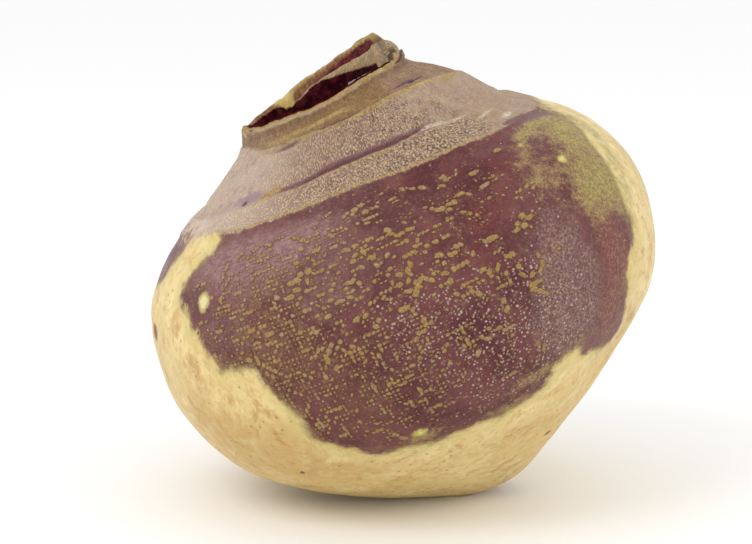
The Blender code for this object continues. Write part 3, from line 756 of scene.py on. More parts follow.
def add_masks(at):
    """Where each colour and texture belongs, as one number per mesh point for every name."""
    azimuth = at["azimuth"]
    masks = {name: spots(at, table) for name, table in PATCHES.items()}
    masks.update({name: around(line, azimuth) for name, line in STRENGTHS.items()})
    masks["depth"] = purple_depth(at)
    masks["eye"] = spots(at, [(*eye[:4], 1.0) for eye in EYES])
    for name, line in (
        ("above_band", BAND_BOTTOM_LINE), ("above_top", BAND_TOP_LINE), ("above_collar", COLLAR_LINE),
        ("above_shelf", SHELF_LINE),
    ):
        masks[name] = at["ring"] - around(line, azimuth)
    masks["inward"] = at["inward"]
    groove = bell(masks["above_top"], GROOVE_ABOVE, GROOVE_STAIN * masks.pop("groove_width"))
    masks["groove"] *= ~at["in_crown"] * groove
    masks["into_neck"] = masks["above_band"] * masks.pop("edge_sharpness")
    masks["past_lip"] = np.where(at["in_crown"], at["inward"] - masks.pop("hollow_edge"), OUTSIDE)
    masks["membrane"] = membrane_crest(at)
    masks["grains"] = np.where(masks["above_top"] < 0.0, masks.pop("band_grains"), masks.pop("neck_grains"))
    masks["left"] = facing(azimuth, LEFT)
    masks["right"] = facing(azimuth, RIGHT)
    masks["painted_lit"] = bell(turn_from(PAINTED_LIT_SIDE, azimuth), 0.0, PAINTED_LIT_HALF_TURN)
    margins = (ROOT_END_RADIUS + margin for margin in ROOT_END_MARGINS)
    masks["root_end"] = 1 - rise(at["along"], *margins)
    at["masks"] = masks


def membrane_crest(at):
    """One on the middle line of the membrane in the hollow, falling to nothing at its foot and its ends."""
    start, end = (np.array(place) for place in MEMBRANE_ENDS)
    length = np.linalg.norm(end - start)
    ahead = (end - start) / length
    x = at["radius"] * np.cos(np.radians(at["azimuth"])) - start[0]
    y = at["radius"] * np.sin(np.radians(at["azimuth"])) - start[1]
    along = (x * ahead[0] + y * ahead[1]) / length
    crest = bell(x * ahead[1] - y * ahead[0], 0.0, MEMBRANE_HALF_WIDTH)
    return at["in_crown"] * crest * rise(along, 0.0, MEMBRANE_FADES[0]) * rise(along, 1.0, MEMBRANE_FADES[1])


def fine_relief(at):
    """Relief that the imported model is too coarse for: dimples, ribs, grains, beads, buds, nib and folds."""
    masks = at["masks"]
    neck = rise(masks["above_band"], *INTO_NECK)
    relief = grain(at, DIMPLES) * (1 - 0.5 * neck)
    edges = sum(
        weight * bell(masks[above], middle, half_width) * masks[strength] * (plain + grain(at, kind))
        for above, strength, weight, middle, half_width, plain, kind in EDGE_BEADS
    )
    relief += grain(at, NECK_RIBS) * neck + EDGE_BEAD * edges
    relief += grain(at, NECK_GRAIN) * neck * masks["grains"]
    for bearing, height, half_width, half_height, depth in EYES:
        relief -= depth * spots(at, [(bearing, height, half_width, half_height, 1.0)])
        rim = (bearing, height, half_width + EYE_RIM, half_height + EYE_RIM, 1.0)
        relief += EYE_RIM_SHARE * depth * spots(at, [rim])
    relief -= DIRT_DEPTH * masks["dirt"] + SHADE_DEPTH * masks["shade"]
    relief += STROKE_HEIGHT * masks["stroke"]
    side, half_turn, height, half_height, reach = NIB
    nib = reach * bell(turn_from(side, at["azimuth"]), 0.0, half_turn)
    relief += nib * bell(at["height"], height, half_height)
    folds = grain(at, HOLLOW_FOLDS) * rise(at["inward"], *FOLDS_INWARD) * rise(at["radius"], *FOLDS_OUTWARD)
    fibres = grain(at, CROWN_FIBRES) * rise(at["inward"], *FIBRES_INWARD)
    lumps = grain(at, LOBE_LUMPS) * masks["lobe"]
    return np.where(at["in_crown"], folds + fibres + lumps, relief)


def lip_rags(at):
    """How far the torn lip and inner ring rise or fall from place to place."""
    torn = rise(at["height"], *TORN_HEIGHTS) * rise(at["radius"], *TORN_RADII)
    rags = LIP_RAGS * (grain(at, LIP_WAVES) + grain(at, LIP_FRAY))
    teeth = sum(
        height * bell(turn_from(side, at["azimuth"]), 0.0, half_turn) for side, height, half_turn in LIP_TEETH
    )
    return torn * (rags + rise(at["radius"], *TEETH_RADII) * teeth)


def skin_points(at):
    """Rows of points round the root, upright on its own axis."""
    height, azimuth, radius, in_crown = (at[name] for name in ("height", "azimuth", "radius", "in_crown"))
    angle = np.radians(azimuth)
    swell = uneven(at["plain"], SWELL_SIZE, SWELL_HEIGHT)
    marks = scar_relief(at["ring"], azimuth) + band_relief(at["ring"], azimuth)
    marks += furrow_relief(height, azimuth, radius)
    relief = np.where(in_crown, CROWN_SWELL_SHARE * swell, swell + marks) + fine_relief(at)
    dish = np.where(at["along"] > ROOT_END_RADIUS, 0.0, ROOT_END_DISH * (1 - (radius / ROOT_END_RADIUS) ** 2))

    reach = radius + at["radial"] * relief
    x = reach * np.cos(angle) + np.interp(height, *zip(*SWAY))
    y = reach * np.sin(angle) * DEPTH_SHARE
    z = height + at["axial"] * relief + crown_lift(height, azimuth, radius, in_crown) + dish + lip_rags(at)
    z += at["masks"]["membrane"] * np.maximum(0.0, MEMBRANE_TOP - z)
    return np.stack([x, y, z], axis=2)


def lean_over(points):
    """Upright points in millimetres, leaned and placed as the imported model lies, in metres."""
    lean = np.array(Matrix.Rotation(math.radians(-LEAN), 3, "Y"))
    return (points @ lean.T + PLACE) * MM


def skin_faces(row_count):
    """The faces between the rings, then the fans that close both ends, with the map corners of them all."""
    faces, corners = [], []
    root_end, crown_end = row_count * COLUMNS, row_count * COLUMNS + 1
    last = (row_count - 1) * COLUMNS
    levels = [row / (row_count + 1) for row in range(row_count + 2)]
    sides = [(i, (i + 1) % COLUMNS, i / COLUMNS, (i + 1) / COLUMNS) for i in range(COLUMNS)]
    for row in range(row_count - 1):
        below, above = row * COLUMNS, (row + 1) * COLUMNS
        low, high = levels[row + 1], levels[row + 2]
        for i, j, left, right in sides:
            faces.append((below + i, below + j, above + j, above + i))
            corners += [left, low, right, low, right, high, left, high]
    for i, j, left, right in sides:
        middle = (left + right) / 2
        faces += [(root_end, j, i), (crown_end, last + i, last + j)]
        corners += [middle, levels[0], right, levels[1], left, levels[1]]
        corners += [middle, levels[-1], left, levels[-2], right, levels[-2]]
    return faces, corners


def with_ends(rows, root_value, crown_value):
    """The values of every point in one column, followed by those of the two end points."""
    flat = rows.reshape(rows.shape[0] * rows.shape[1], -1)
    ends = np.array([np.broadcast_to(value, flat.shape[1]) for value in (root_value, crown_value)], float)
    return np.vstack([flat, ends])


def mark_points(mesh, name, kind, values):
    """Keeps one value for each point of a mesh, where its material can read it."""
    layer = mesh.attributes.new(name, kind, "POINT")
    layer.data.foreach_set("vector" if kind == "FLOAT_VECTOR" else "value", np.ravel(values))


def new_object(name, points, faces):
    """A new object in the scene from upright points, which stay upright for its material."""
    mesh = bpy.data.meshes.new(name)
    mesh.from_pydata(lean_over(points).tolist(), [], faces)
    mark_points(mesh, "upright", "FLOAT_VECTOR", points)
    piece = bpy.data.objects.new(name, mesh)
    bpy.context.scene.collection.objects.link(piece)
    return piece


def skin_object(at, grid):
    """The skin as one closed mesh, with its masks, its two sets of coordinates and its map."""
    points = with_ends(grid, grid[0].mean(axis=0), grid[-1].mean(axis=0))
    faces, corners = skin_faces(len(grid))
    skin = new_object("rutabaga_skin", points, faces)
    skin.data.uv_layers.new(name="OFBake").uv.foreach_set("vector", corners)
    for name, values in at["masks"].items():
        values = with_ends(values[:, :, None], values[0].mean(), values[-1].mean())
        mark_points(skin.data, name, "FLOAT", values)
    angle = np.radians(at["azimuth"])
    lay = np.stack([np.cos(angle), np.sin(angle), at["along"]], axis=2)
    lay = with_ends(lay, (0.0, 0.0, 0.0), (0.0, 0.0, at["along"].max()))
    mark_points(skin.data, "lay", "FLOAT_VECTOR", lay)
    flatten_rest(skin.data)
    skin.data.shade_smooth()
    return skin


def flatten_rest(mesh):
    """Cuts off what would reach under the floor. Points close to it are moved onto it first."""
    work = bmesh.new()
    work.from_mesh(mesh)
    for vert in work.verts:
        if abs(vert.co.z) < REST_SNAP * MM:
            vert.co.z = 0.0
    bmesh.ops.bisect_plane(
        work,
        geom=work.verts[:] + work.edges[:] + work.faces[:],
        plane_co=(0.0, 0.0, 0.0),
        plane_no=(0.0, 0.0, -1.0),
        dist=MM / 1000,
        clear_outer=True,
    )
    bmesh.ops.holes_fill(work, edges=[edge for edge in work.edges if edge.is_boundary])
    bmesh.ops.triangulate(work, faces=[face for face in work.faces if len(face.verts) > 4])
    work.to_mesh(mesh)
    work.free()


class Paint:
    """Builds the nodes of one material. Each call gives the socket that carries its result.

    A noise is given by its size in millimetres, its detail, its roughness and how far it is warped.
    """

    def __init__(self, name):
        self.material = bpy.data.materials.new(name)
        self.material.use_nodes = True
        self.tree = self.material.node_tree
        self.shader = self.tree.nodes["Principled BSDF"]
        self.attributes = {}

    def give(self, socket, value):
        """Sets a socket to a plain value, or links the socket that the value is."""
        if isinstance(value, bpy.types.NodeSocket):
            self.tree.links.new(value, socket)
        else:
            socket.default_value = value

    def attribute(self, name, output):
        """What the mesh holds for each of its points under that name."""
        if name not in self.attributes:
            node = self.tree.nodes.new("ShaderNodeAttribute")
            node.attribute_name = name
            self.attributes[name] = node.outputs[output]
        return self.attributes[name]

    def mask(self, name):
        return self.attribute(name, "Fac")

    @property
    def upright(self):
        """The place on the upright root, in millimetres."""
        return self.attribute("upright", "Vector")

    def lay(self, radius, across, lengthwise):
        """The place on the skin, in lumps of one size round a ring of that radius and another along it."""
        factors = (radius / across, radius / across, 1.0 / lengthwise)
        return self.stretch(self.attribute("lay", "Vector"), factors)

    def math(self, operation, *values):
        node = self.tree.nodes.new("ShaderNodeMath")
        node.operation = operation
        for socket, value in zip(node.inputs, values):
            self.give(socket, value)
        return node.outputs[0]

    def times(self, a, b):
        return self.math("MULTIPLY", a, b)

    def plus(self, a, b):
        return self.math("ADD", a, b)

    def line(self, value, slope, start):
        """The value times the slope, plus the start."""
        return self.math("MULTIPLY_ADD", value, slope, start)

    def blend(self, below, above, share):
        """The value below, changing into the value above by a share."""
        return self.line(self.math("SUBTRACT", above, below), share, below)

    def stretch(self, where, factors):
        node = self.tree.nodes.new("ShaderNodeVectorMath")
        node.operation = "MULTIPLY"
        self.give(node.inputs[0], where)
        self.give(node.inputs[1], factors)
        return node.outputs[0]

    def noise(self, where, size, detail=3.0, rough=0.5, warp=0.0):
        """Cloudy noise from 0 to 1 whose lumps are about that size."""
        node = self.tree.nodes.new("ShaderNodeTexNoise")
        self.give(node.inputs["Vector"], where)
        node.inputs["Scale"].default_value = 1.0 / size
        node.inputs["Detail"].default_value = detail
        node.inputs["Roughness"].default_value = rough
        node.inputs["Distortion"].default_value = warp
        return node.outputs["Fac"]

    def cells(self, where, size):
        """Scattered cells: the distance to the nearest middle, and two random numbers for each cell."""
        node = self.tree.nodes.new("ShaderNodeTexVoronoi")
        self.give(node.inputs["Vector"], where)
        node.inputs["Scale"].default_value = 1.0 / size
        split = self.tree.nodes.new("ShaderNodeSeparateColor")
        self.give(split.inputs[0], node.outputs["Color"])
        return node.outputs["Distance"], split.outputs[0], split.outputs[1]

    def climb(self, value, start, end):
        """Climbs smoothly from 0 at start to 1 at end. Start may be the greater."""
        node = self.tree.nodes.new("ShaderNodeMapRange")
        node.interpolation_type = "SMOOTHSTEP"
        self.give(node.inputs["Value"], value)
        node.inputs["From Min"].default_value = min(start, end)
        node.inputs["From Max"].default_value = max(start, end)
        node.inputs["To Min"].default_value = float(start > end)
        node.inputs["To Max"].default_value = float(start <= end)
        return node.outputs[0]

    def span(self, value, start, full, fades, end):
        """Climbs from 0 at start to 1 at full, and falls again from fades to end."""
        return self.times(self.climb(value, start, full), self.climb(value, end, fades))

    def cloud(self, start, end, *kind):
        """Noise of that kind over the root, which climbs from 0 to 1 between two of its values."""
        return self.climb(self.noise(self.upright, *kind), start, end)

    def streaks(self, start, end, where, *kind):
        """The same at a place as lay gives it, which draws the noise out."""
        return self.climb(self.noise(where, 1.0, *kind), start, end)

    def wander(self, reach, *kind):
        """Noise of that kind over the root, which swings about 0 and reaches about that far either way."""
        return self.line(self.noise(self.upright, *kind), 4.0 * reach, -2.0 * reach)

    def ragged(self, name, reach, *kind):
        """The mask of that name, with an edge that wanders."""
        return self.plus(self.mask(name), self.wander(reach, *kind))

    def patch(self, name, start, end, reach, *kind):
        """The mask of that name as a patch with a wandering edge, climbing from 0 to 1."""
        return self.climb(self.ragged(name, reach, *kind), start, end)

    def mix(self, below, above, share, strength=None):
        """The colour below, covered with the one above by that share, times the strength if one is given."""
        node = self.tree.nodes.new("ShaderNodeMix")
        node.data_type = "RGBA"
        self.give(node.inputs[0], share if strength is None else self.times(share, strength))
        for socket, colour in ((node.inputs[6], below), (node.inputs[7], above)):
            self.give(socket, (*colour, 1.0) if isinstance(colour, tuple) else colour)
        return node.outputs[2]

    def bump(self, height):
        """The normal that a height in millimetres gives."""
        node = self.tree.nodes.new("ShaderNodeBump")
        node.inputs["Strength"].default_value = 1.0
        node.inputs["Distance"].default_value = MM
        self.give(node.inputs["Height"], height)
        return node.outputs[0]


def flesh_colour(p):
    """The cream skin: cloudy, mottled and smudged, with ochre patches, rusty specks and earth."""
    colour = p.mix((0.74, 0.585, 0.265), (0.66, 0.485, 0.19), p.cloud(0.36, 0.64, 22, 4, 0.55))
    light = p.cloud(0.5, 0.64, 7, 5, 0.65, 0.3)
    colour = p.mix(colour, (0.82, 0.7, 0.37), light, 0.5)
    tan = p.patch("tan", 0.1, 1.1, 0.35, 6, 5, 0.65)
    colour = p.mix(colour, (0.545, 0.375, 0.14), tan, 0.8)
    mottle = p.cloud(0.48, 0.6, 2.2, 6, 0.7)
    colour = p.mix(colour, (0.53, 0.325, 0.105), mottle, 0.45)
    smudge = p.climb(p.noise(p.stretch(p.upright, (1.0, 1.0, 0.7)), 6, 7, 0.7, 0.4), 0.54, 0.64)
    colour = p.mix(colour, (0.43, 0.22, 0.065), smudge, p.line(p.mask("tan"), 0.25, 0.5))
    greenish = p.cloud(0.53, 0.64, 5.5, 5, 0.62, 0.3)
    colour = p.mix(colour, (0.66, 0.575, 0.27), greenish, 0.45)
    spot = p.cloud(0.66, 0.72, 2.6, 3, 0.6, 0.3)
    colour = p.mix(colour, (0.36, 0.19, 0.06), spot, p.line(p.mask("tan"), 0.5, 0.2))
    ochre = p.times(p.mask("ochre"), p.cloud(0.38, 0.6, 3.4, 7, 0.72))
    colour = p.mix(colour, (0.45, 0.235, 0.065), ochre, 0.85)
    distance, chance, _ = p.cells(p.upright, 2.4)
    speck = p.times(p.climb(distance, 0.22, 0.1), p.math("LESS_THAN", chance, 0.4))
    colour = p.mix(colour, (0.33, 0.16, 0.045), speck, 0.7)
    root_end = p.times(p.mask("root_end"), p.cloud(0.25, 0.75, 1.6, 4, 0.6))
    colour = p.mix(colour, (0.3, 0.18, 0.08), root_end)
    return p.mix(colour, (0.185, 0.066, 0.022), p.climb(p.mask("dirt"), 0.25, 0.85))


def purple_colour(p):
    """The purple skin: dark and sandy, mauve (partly painted sheen) to one side, a grey bloom to the other,
    reddened in places.
    """
    cloud = p.cloud(0.36, 0.64, 11, 5, 0.62)
    fine = p.cloud(0.46, 0.68, 0.7, 4, 0.75)
    edge = p.wander(0.4, 4.5, 7, 0.74)
    deep, brown, mauve, bloom, red, warm = (
        p.climb(p.plus(p.mask(name), edge), start, 1.1)
        for name, start in (
            ("deep", 0.1), ("brown", 0.1), ("mauve", 0.0), ("bloom", 0.1), ("red", 0.15), ("warm", 0.15)
        )
    )
    colour = p.mix((0.082, 0.018, 0.019), (0.14, 0.043, 0.041), cloud)
    colour = p.mix(colour, p.mix((0.056, 0.005, 0.009), (0.105, 0.018, 0.02), cloud), deep, 0.85)
    colour = p.mix(colour, (0.205, 0.075, 0.068), fine, p.line(deep, -0.22, 0.5))
    colour = p.mix(colour, (0.175, 0.062, 0.04), brown, 0.7)
    streaked = p.streaks(0.4, 0.62, p.lay(BELLY_RADIUS, 2.4, 0.7), 5, 0.7)
    mottle = p.line(fine, 0.55, p.times(streaked, 0.45))
    # Mauve, partly the skin's own colour and partly painted sheen
    colour = p.mix(colour, p.mix((0.18, 0.085, 0.088), (0.37, 0.235, 0.21), mottle), mauve, 0.92)
    frost = p.cloud(0.42, 0.64, 0.6, 3, 0.75)
    colour = p.mix(colour, p.mix((0.125, 0.052, 0.048), (0.3, 0.19, 0.155), frost), bloom, 0.9)
    broken = p.times(p.cloud(0.4, 0.6, 1.6, 6, 0.75), 0.75)
    colour = p.mix(colour, p.mix((0.095, 0.016, 0.016), (0.25, 0.062, 0.04), fine), red, broken)
    colour = p.mix(colour, p.mix((0.155, 0.044, 0.036), (0.36, 0.185, 0.105), fine), warm, 0.85)
    hair = p.plus(p.noise(p.lay(BELLY_RADIUS, 14, 5), 1.0, 2, 0.5, 0.6), -0.5)
    scratch = p.climb(p.math("ABSOLUTE", hair), 0.0025, 0.0)
    return p.mix(colour, (0.33, 0.22, 0.18), scratch, p.climb(p.mask("mauve"), 0.1, 1.2))


def small_marks(p, colour):
    """The marks on purple skin: fine pale dots, wormy cork and tan freckles. Also how high they stand."""
    distance, chance, size = p.cells(p.upright, 0.82)
    dot = p.climb(p.math("SUBTRACT", distance, p.line(size, 0.18, 0.18)), 0.12, -0.12)
    dots = p.times(dot, p.math("LESS_THAN", chance, p.patch("dots", 0.1, 1.0, 0.45, 4, 4, 0.65)))
    colour = p.mix(colour, p.mix((0.25, 0.145, 0.12), (0.46, 0.34, 0.285), size), dots, 0.9)
    ridge = p.math("ABSOLUTE", p.plus(p.noise(p.upright, 1.7, 3, 0.6, 0.5), -0.5))
    worm = p.times(p.climb(ridge, 0.095, 0.045), p.patch("worms", 0.55, 0.95, 0.9, 2.4, 5, 0.7))
    colour = p.mix(colour, (0.275, 0.145, 0.06), worm, 0.4)
    distance, chance, size = p.cells(p.lay(BELLY_RADIUS, 1.6, 1.0), 1.0)
    ragged = p.plus(distance, p.wander(0.1, 0.6, 2, 0.6))
    freckle = p.climb(p.math("SUBTRACT", ragged, p.line(size, 0.18, 0.14)), 0.1, -0.1)
    grouped = p.times(p.cloud(0.38, 0.62, 9, 2), 0.65)
    freckles = p.times(freckle, p.math("LESS_THAN", chance, grouped))
    colour = p.mix(colour, (0.27, 0.145, 0.06), freckles, 0.75)
    return colour, p.math("MAXIMUM", p.times(dots, 0.6), p.math("MAXIMUM", freckles, p.times(worm, 1.4)))


def field_colour(p):
    """The whole belly: cream flesh, a yellow-green fringe, purple skin and olive patches where it thins."""
    purple, raised = small_marks(p, purple_colour(p))
    depth = p.plus(p.ragged("depth", 2.0, 6.5, 6, 0.62), p.wander(0.8, 1.1, 4, 0.65))
    broken = p.cloud(0.38, 0.62, 1.1, 5, 0.72)
    stipple = p.cloud(0.4, 0.6, 0.55, 3, 0.7)
    olive = p.ragged("olive", 0.75, 2.6, 7, 0.78)
    tan = p.mix((0.205, 0.105, 0.062), (0.34, 0.215, 0.1), stipple)
    purple = p.mix(purple, tan, p.climb(olive, 0.05, 0.95), 0.85)
    green = p.mix((0.2, 0.14, 0.042), (0.385, 0.305, 0.088), p.line(broken, 0.6, p.times(stipple, 0.4)))
    purple = p.mix(purple, green, p.climb(olive, 0.35, 1.25), 0.9)
    in_places = p.cloud(0.4, 0.6, 7, 3, 0.6)
    inner_margin = p.times(p.times(p.climb(depth, 4.2, 0.6), broken), in_places)
    purple = p.mix(purple, (0.265, 0.18, 0.055), inner_margin, 0.9)
    fringe = p.times(p.climb(depth, -5.0, -0.3), p.line(in_places, 0.6, 0.4))
    flesh = p.mix(flesh_colour(p), p.mix((0.42, 0.335, 0.09), (0.68, 0.58, 0.25), broken), fringe, 0.8)
    colour = p.mix(flesh, purple, p.climb(depth, -1.3, 1.3))
    moss = p.patch("moss", 0.2, 1.1, 0.45, 3.2, 7, 0.75)
    colour = p.mix(colour, p.mix((0.26, 0.195, 0.06), (0.55, 0.455, 0.18), broken), moss, 0.85)
    sap = p.ragged("sap", 0.3, 1.4, 5, 0.65)
    sap_colour = p.mix((0.46, 0.39, 0.1), (0.62, 0.62, 0.2), p.climb(sap, 0.9, 1.3))
    colour = p.mix(colour, sap_colour, p.climb(sap, 0.35, 0.9), 0.9)
    pale = p.ragged("pale", 0.25, 1.8, 4, 0.65)
    pale_colour = p.mix((0.4, 0.33, 0.12), (0.68, 0.58, 0.29), p.climb(pale, 0.7, 1.1))
    colour = p.mix(colour, pale_colour, p.climb(pale, 0.4, 0.7))
    return colour, p.times(raised, p.climb(depth, 0.0, 1.0))


def neck_ground(p):
    """The plain tissue of the neck: mauve-brown in front, paler and pinkish towards both sides."""
    cloud = p.cloud(0.32, 0.68, 5, 6, 0.65)
    colour = p.mix((0.345, 0.225, 0.165), (0.245, 0.128, 0.108), cloud)
    left = p.mix((0.68, 0.54, 0.42), (0.52, 0.385, 0.325), cloud)
    colour = p.mix(colour, left, p.climb(p.mask("left"), 0.46, 0.8))
    right = p.mix((0.4, 0.285, 0.2), (0.3, 0.195, 0.15), cloud)
    colour = p.mix(colour, right, p.climb(p.mask("right"), 0.64, 0.86))
    upward = p.streaks(0.42, 0.66, p.lay(NECK_RADIUS, 0.4, 3), 4, 0.65)
    sideways = p.streaks(0.42, 0.66, p.lay(NECK_RADIUS, 3, 0.5), 5, 0.72)
    streak = p.plus(p.times(upward, 0.5), p.times(sideways, p.climb(p.mask("right"), 0.6, 0.9)))
    colour = p.mix(colour, (0.5, 0.38, 0.25), streak, 0.42)
    dark_streak = p.streaks(0.6, 0.72, p.lay(NECK_RADIUS, 3, 0.6), 4, 0.7, 0.3)
    return p.mix(colour, (0.2, 0.105, 0.09), dark_streak, 0.35), streak


def grain_colour(p):
    """Corky grains packed over dark pits, drawn out upwards above the band. Also how high they stand."""
    tall, chance, _ = p.cells(p.lay(NECK_RADIUS, 0.37, 0.78), 1.0)
    squat, chance_low, _ = p.cells(p.lay(NECK_RADIUS, 0.42, 0.58), 1.0)
    in_band = p.climb(p.mask("above_top"), 0.3, -0.3)
    distance = p.plus(p.blend(tall, squat, in_band), p.wander(0.18, 0.6, 4, 0.65))
    grain = p.climb(distance, 0.78, 0.24)
    light = p.mix((0.4, 0.265, 0.16), (0.585, 0.44, 0.29), p.blend(chance, chance_low, in_band))
    light = p.mix(light, (0.7, 0.57, 0.43), p.climb(p.mask("left"), 0.55, 0.9), 0.7)
    light = p.mix(light, (0.46, 0.33, 0.12), p.cloud(0.48, 0.66, 1.6, 5, 0.68), 0.65)
    deep = p.times(p.mask("pit_contrast"), p.cloud(0.3, 0.62, 2.2, 4, 0.6))
    dark = p.mix((0.265, 0.155, 0.125), (0.075, 0.034, 0.026), deep)
    dark = p.mix(dark, (0.43, 0.305, 0.255), p.climb(p.mask("left"), 0.52, 0.84))
    return p.mix(dark, light, grain), grain


def gold_cork(p):
    """The golden cork on the edges of the old leaf bases."""
    return p.mix((0.3, 0.185, 0.06), (0.5, 0.355, 0.145), p.cloud(0.35, 0.65, 0.7, 3, 0.6))


def sunken(p, colour, darkest):
    """The colour with its shaded hollows, the deepest in the darkest colour, and with the buds and pits."""
    colour = p.mix(colour, (0.165, 0.072, 0.075), p.climb(p.mask("shade"), 0.15, 0.6))
    colour = p.mix(colour, darkest, p.climb(p.mask("shade"), 0.7, 1.15))
    eye = p.ragged("eye", 0.12, 0.6, 3, 0.6)
    colour = p.mix(colour, (0.2, 0.1, 0.11), p.climb(eye, 0.15, 0.5))
    return p.mix(colour, (0.07, 0.03, 0.042), p.climb(eye, 0.5, 0.95))


def neck_colour(p):
    """The neck: its ground, corky grains, golden edges, the purple groove, pale flecking, buds and shade."""
    ground, streak = neck_ground(p)
    grains, grain = grain_colour(p)
    packed = p.patch("grains", 0.0, 1.1, 0.5, 2.6, 6, 0.72)
    colour = p.mix(ground, grains, packed, 0.88)
    mauve = p.climb(p.noise(p.stretch(p.upright, (1.0, 1.0, 0.6)), 4.5, 5, 0.68), 0.52, 0.68)
    colour = p.mix(colour, (0.235, 0.118, 0.115), mauve, 0.34)
    for name, above, strength, start, end, edge in NECK_PATCHES:
        colour = p.mix(colour, above, p.patch(name, start, end, *edge), strength)
    gold = gold_cork(p)
    broken = p.streaks(0.3, 0.58, p.lay(NECK_RADIUS, 0.9, 1.2), 4, 0.7)
    wander = p.wander(0.34, 1.6, 5, 0.7)
    for above, strength, low, high, gaps in GOLDEN_EDGES:
        line = p.plus(p.mask(above), wander)
        share = p.span(line, low, low + GOLD_FADE, high - GOLD_FADE, high)
        share = p.times(p.times(share, p.line(broken, gaps, 1.0 - gaps)), p.mask(strength))
        colour = p.mix(colour, gold, share, 0.9)
    stroke = p.patch("stroke", 0.35, 0.75, 0.15, 0.8, 4, 0.6)
    colour = p.mix(colour, p.mix((0.33, 0.185, 0.055), (0.5, 0.33, 0.12), grain), stroke, 0.95)
    white = p.times(p.climb(p.mask("fringe_white"), 0.2, 0.9), p.cloud(0.36, 0.54, 0.55, 3, 0.7))
    colour = p.mix(colour, (0.66, 0.56, 0.44), white, 0.9)
    colour = sunken(p, colour, (0.075, 0.03, 0.04))
    return colour, p.math("MAXIMUM", p.times(grain, packed), p.times(streak, 0.3))


def collar_colour(p):
    """The tissue of the last leaf bases under the lip, with its shelf and the lip's thin edge."""
    rib = p.streaks(0.4, 0.64, p.lay(COLLAR_RADIUS, 0.8, 2), 6, 0.72)
    cloud = p.cloud(0.36, 0.64, 2.4, 6, 0.7)
    grain = p.climb(p.cells(p.lay(COLLAR_RADIUS, 0.36, 0.5), 1.0)[0], 0.75, 0.3)
    pink = p.mix((0.33, 0.205, 0.135), (0.185, 0.098, 0.066), cloud)
    pink = p.mix(pink, (0.41, 0.275, 0.15), rib, 0.35)
    brown = p.mix((0.155, 0.075, 0.032), (0.265, 0.145, 0.055), cloud)
    brown = p.mix(brown, (0.32, 0.195, 0.07), rib, 0.55)
    colour = p.mix(pink, brown, p.patch("brown_collar", 0.2, 0.85, 0.3, 2.4, 5, 0.65))
    colour = p.mix(colour, p.mix((0.12, 0.058, 0.036), (0.42, 0.29, 0.14), grain), 0.28)
    lavender = p.patch("lavender", 0.2, 1.2, 0.3, 2, 4, 0.65)
    colour = p.mix(colour, (0.33, 0.235, 0.265), lavender, 0.6)
    shelf = p.span(p.ragged("above_shelf", 0.25, 1.6, 4, 0.65), -0.8, -0.3, 0.35, 0.8)
    colour = p.mix(colour, gold_cork(p), p.times(shelf, p.mask("shelf_gold")), 0.9)
    edge = p.ragged("inward", 0.5, 1.6, 5, 0.7)
    strip = p.times(p.span(edge, -2.6, -2.0, -0.9, -0.5), p.mask("lip_strip"))
    colour = p.mix(colour, p.mix((0.17, 0.095, 0.045), (0.28, 0.175, 0.085), rib), strip, 0.8)
    gilt = p.times(p.mask("lip_gold"), p.climb(cloud, 0.2, 0.6))
    gilt_colour = p.mix((0.5, 0.37, 0.24), (0.37, 0.245, 0.07), gilt)
    colour = p.mix(colour, gilt_colour, p.climb(edge, -1.1, -0.4), 0.85)
    colour = p.mix(colour, (0.12, 0.055, 0.03), p.climb(edge, -0.9, -0.1), p.mask("lip_dark"))
    colour = sunken(p, colour, (0.075, 0.03, 0.035))
    return colour, p.math("MAXIMUM", p.times(rib, 0.6), p.times(grain, 0.5))


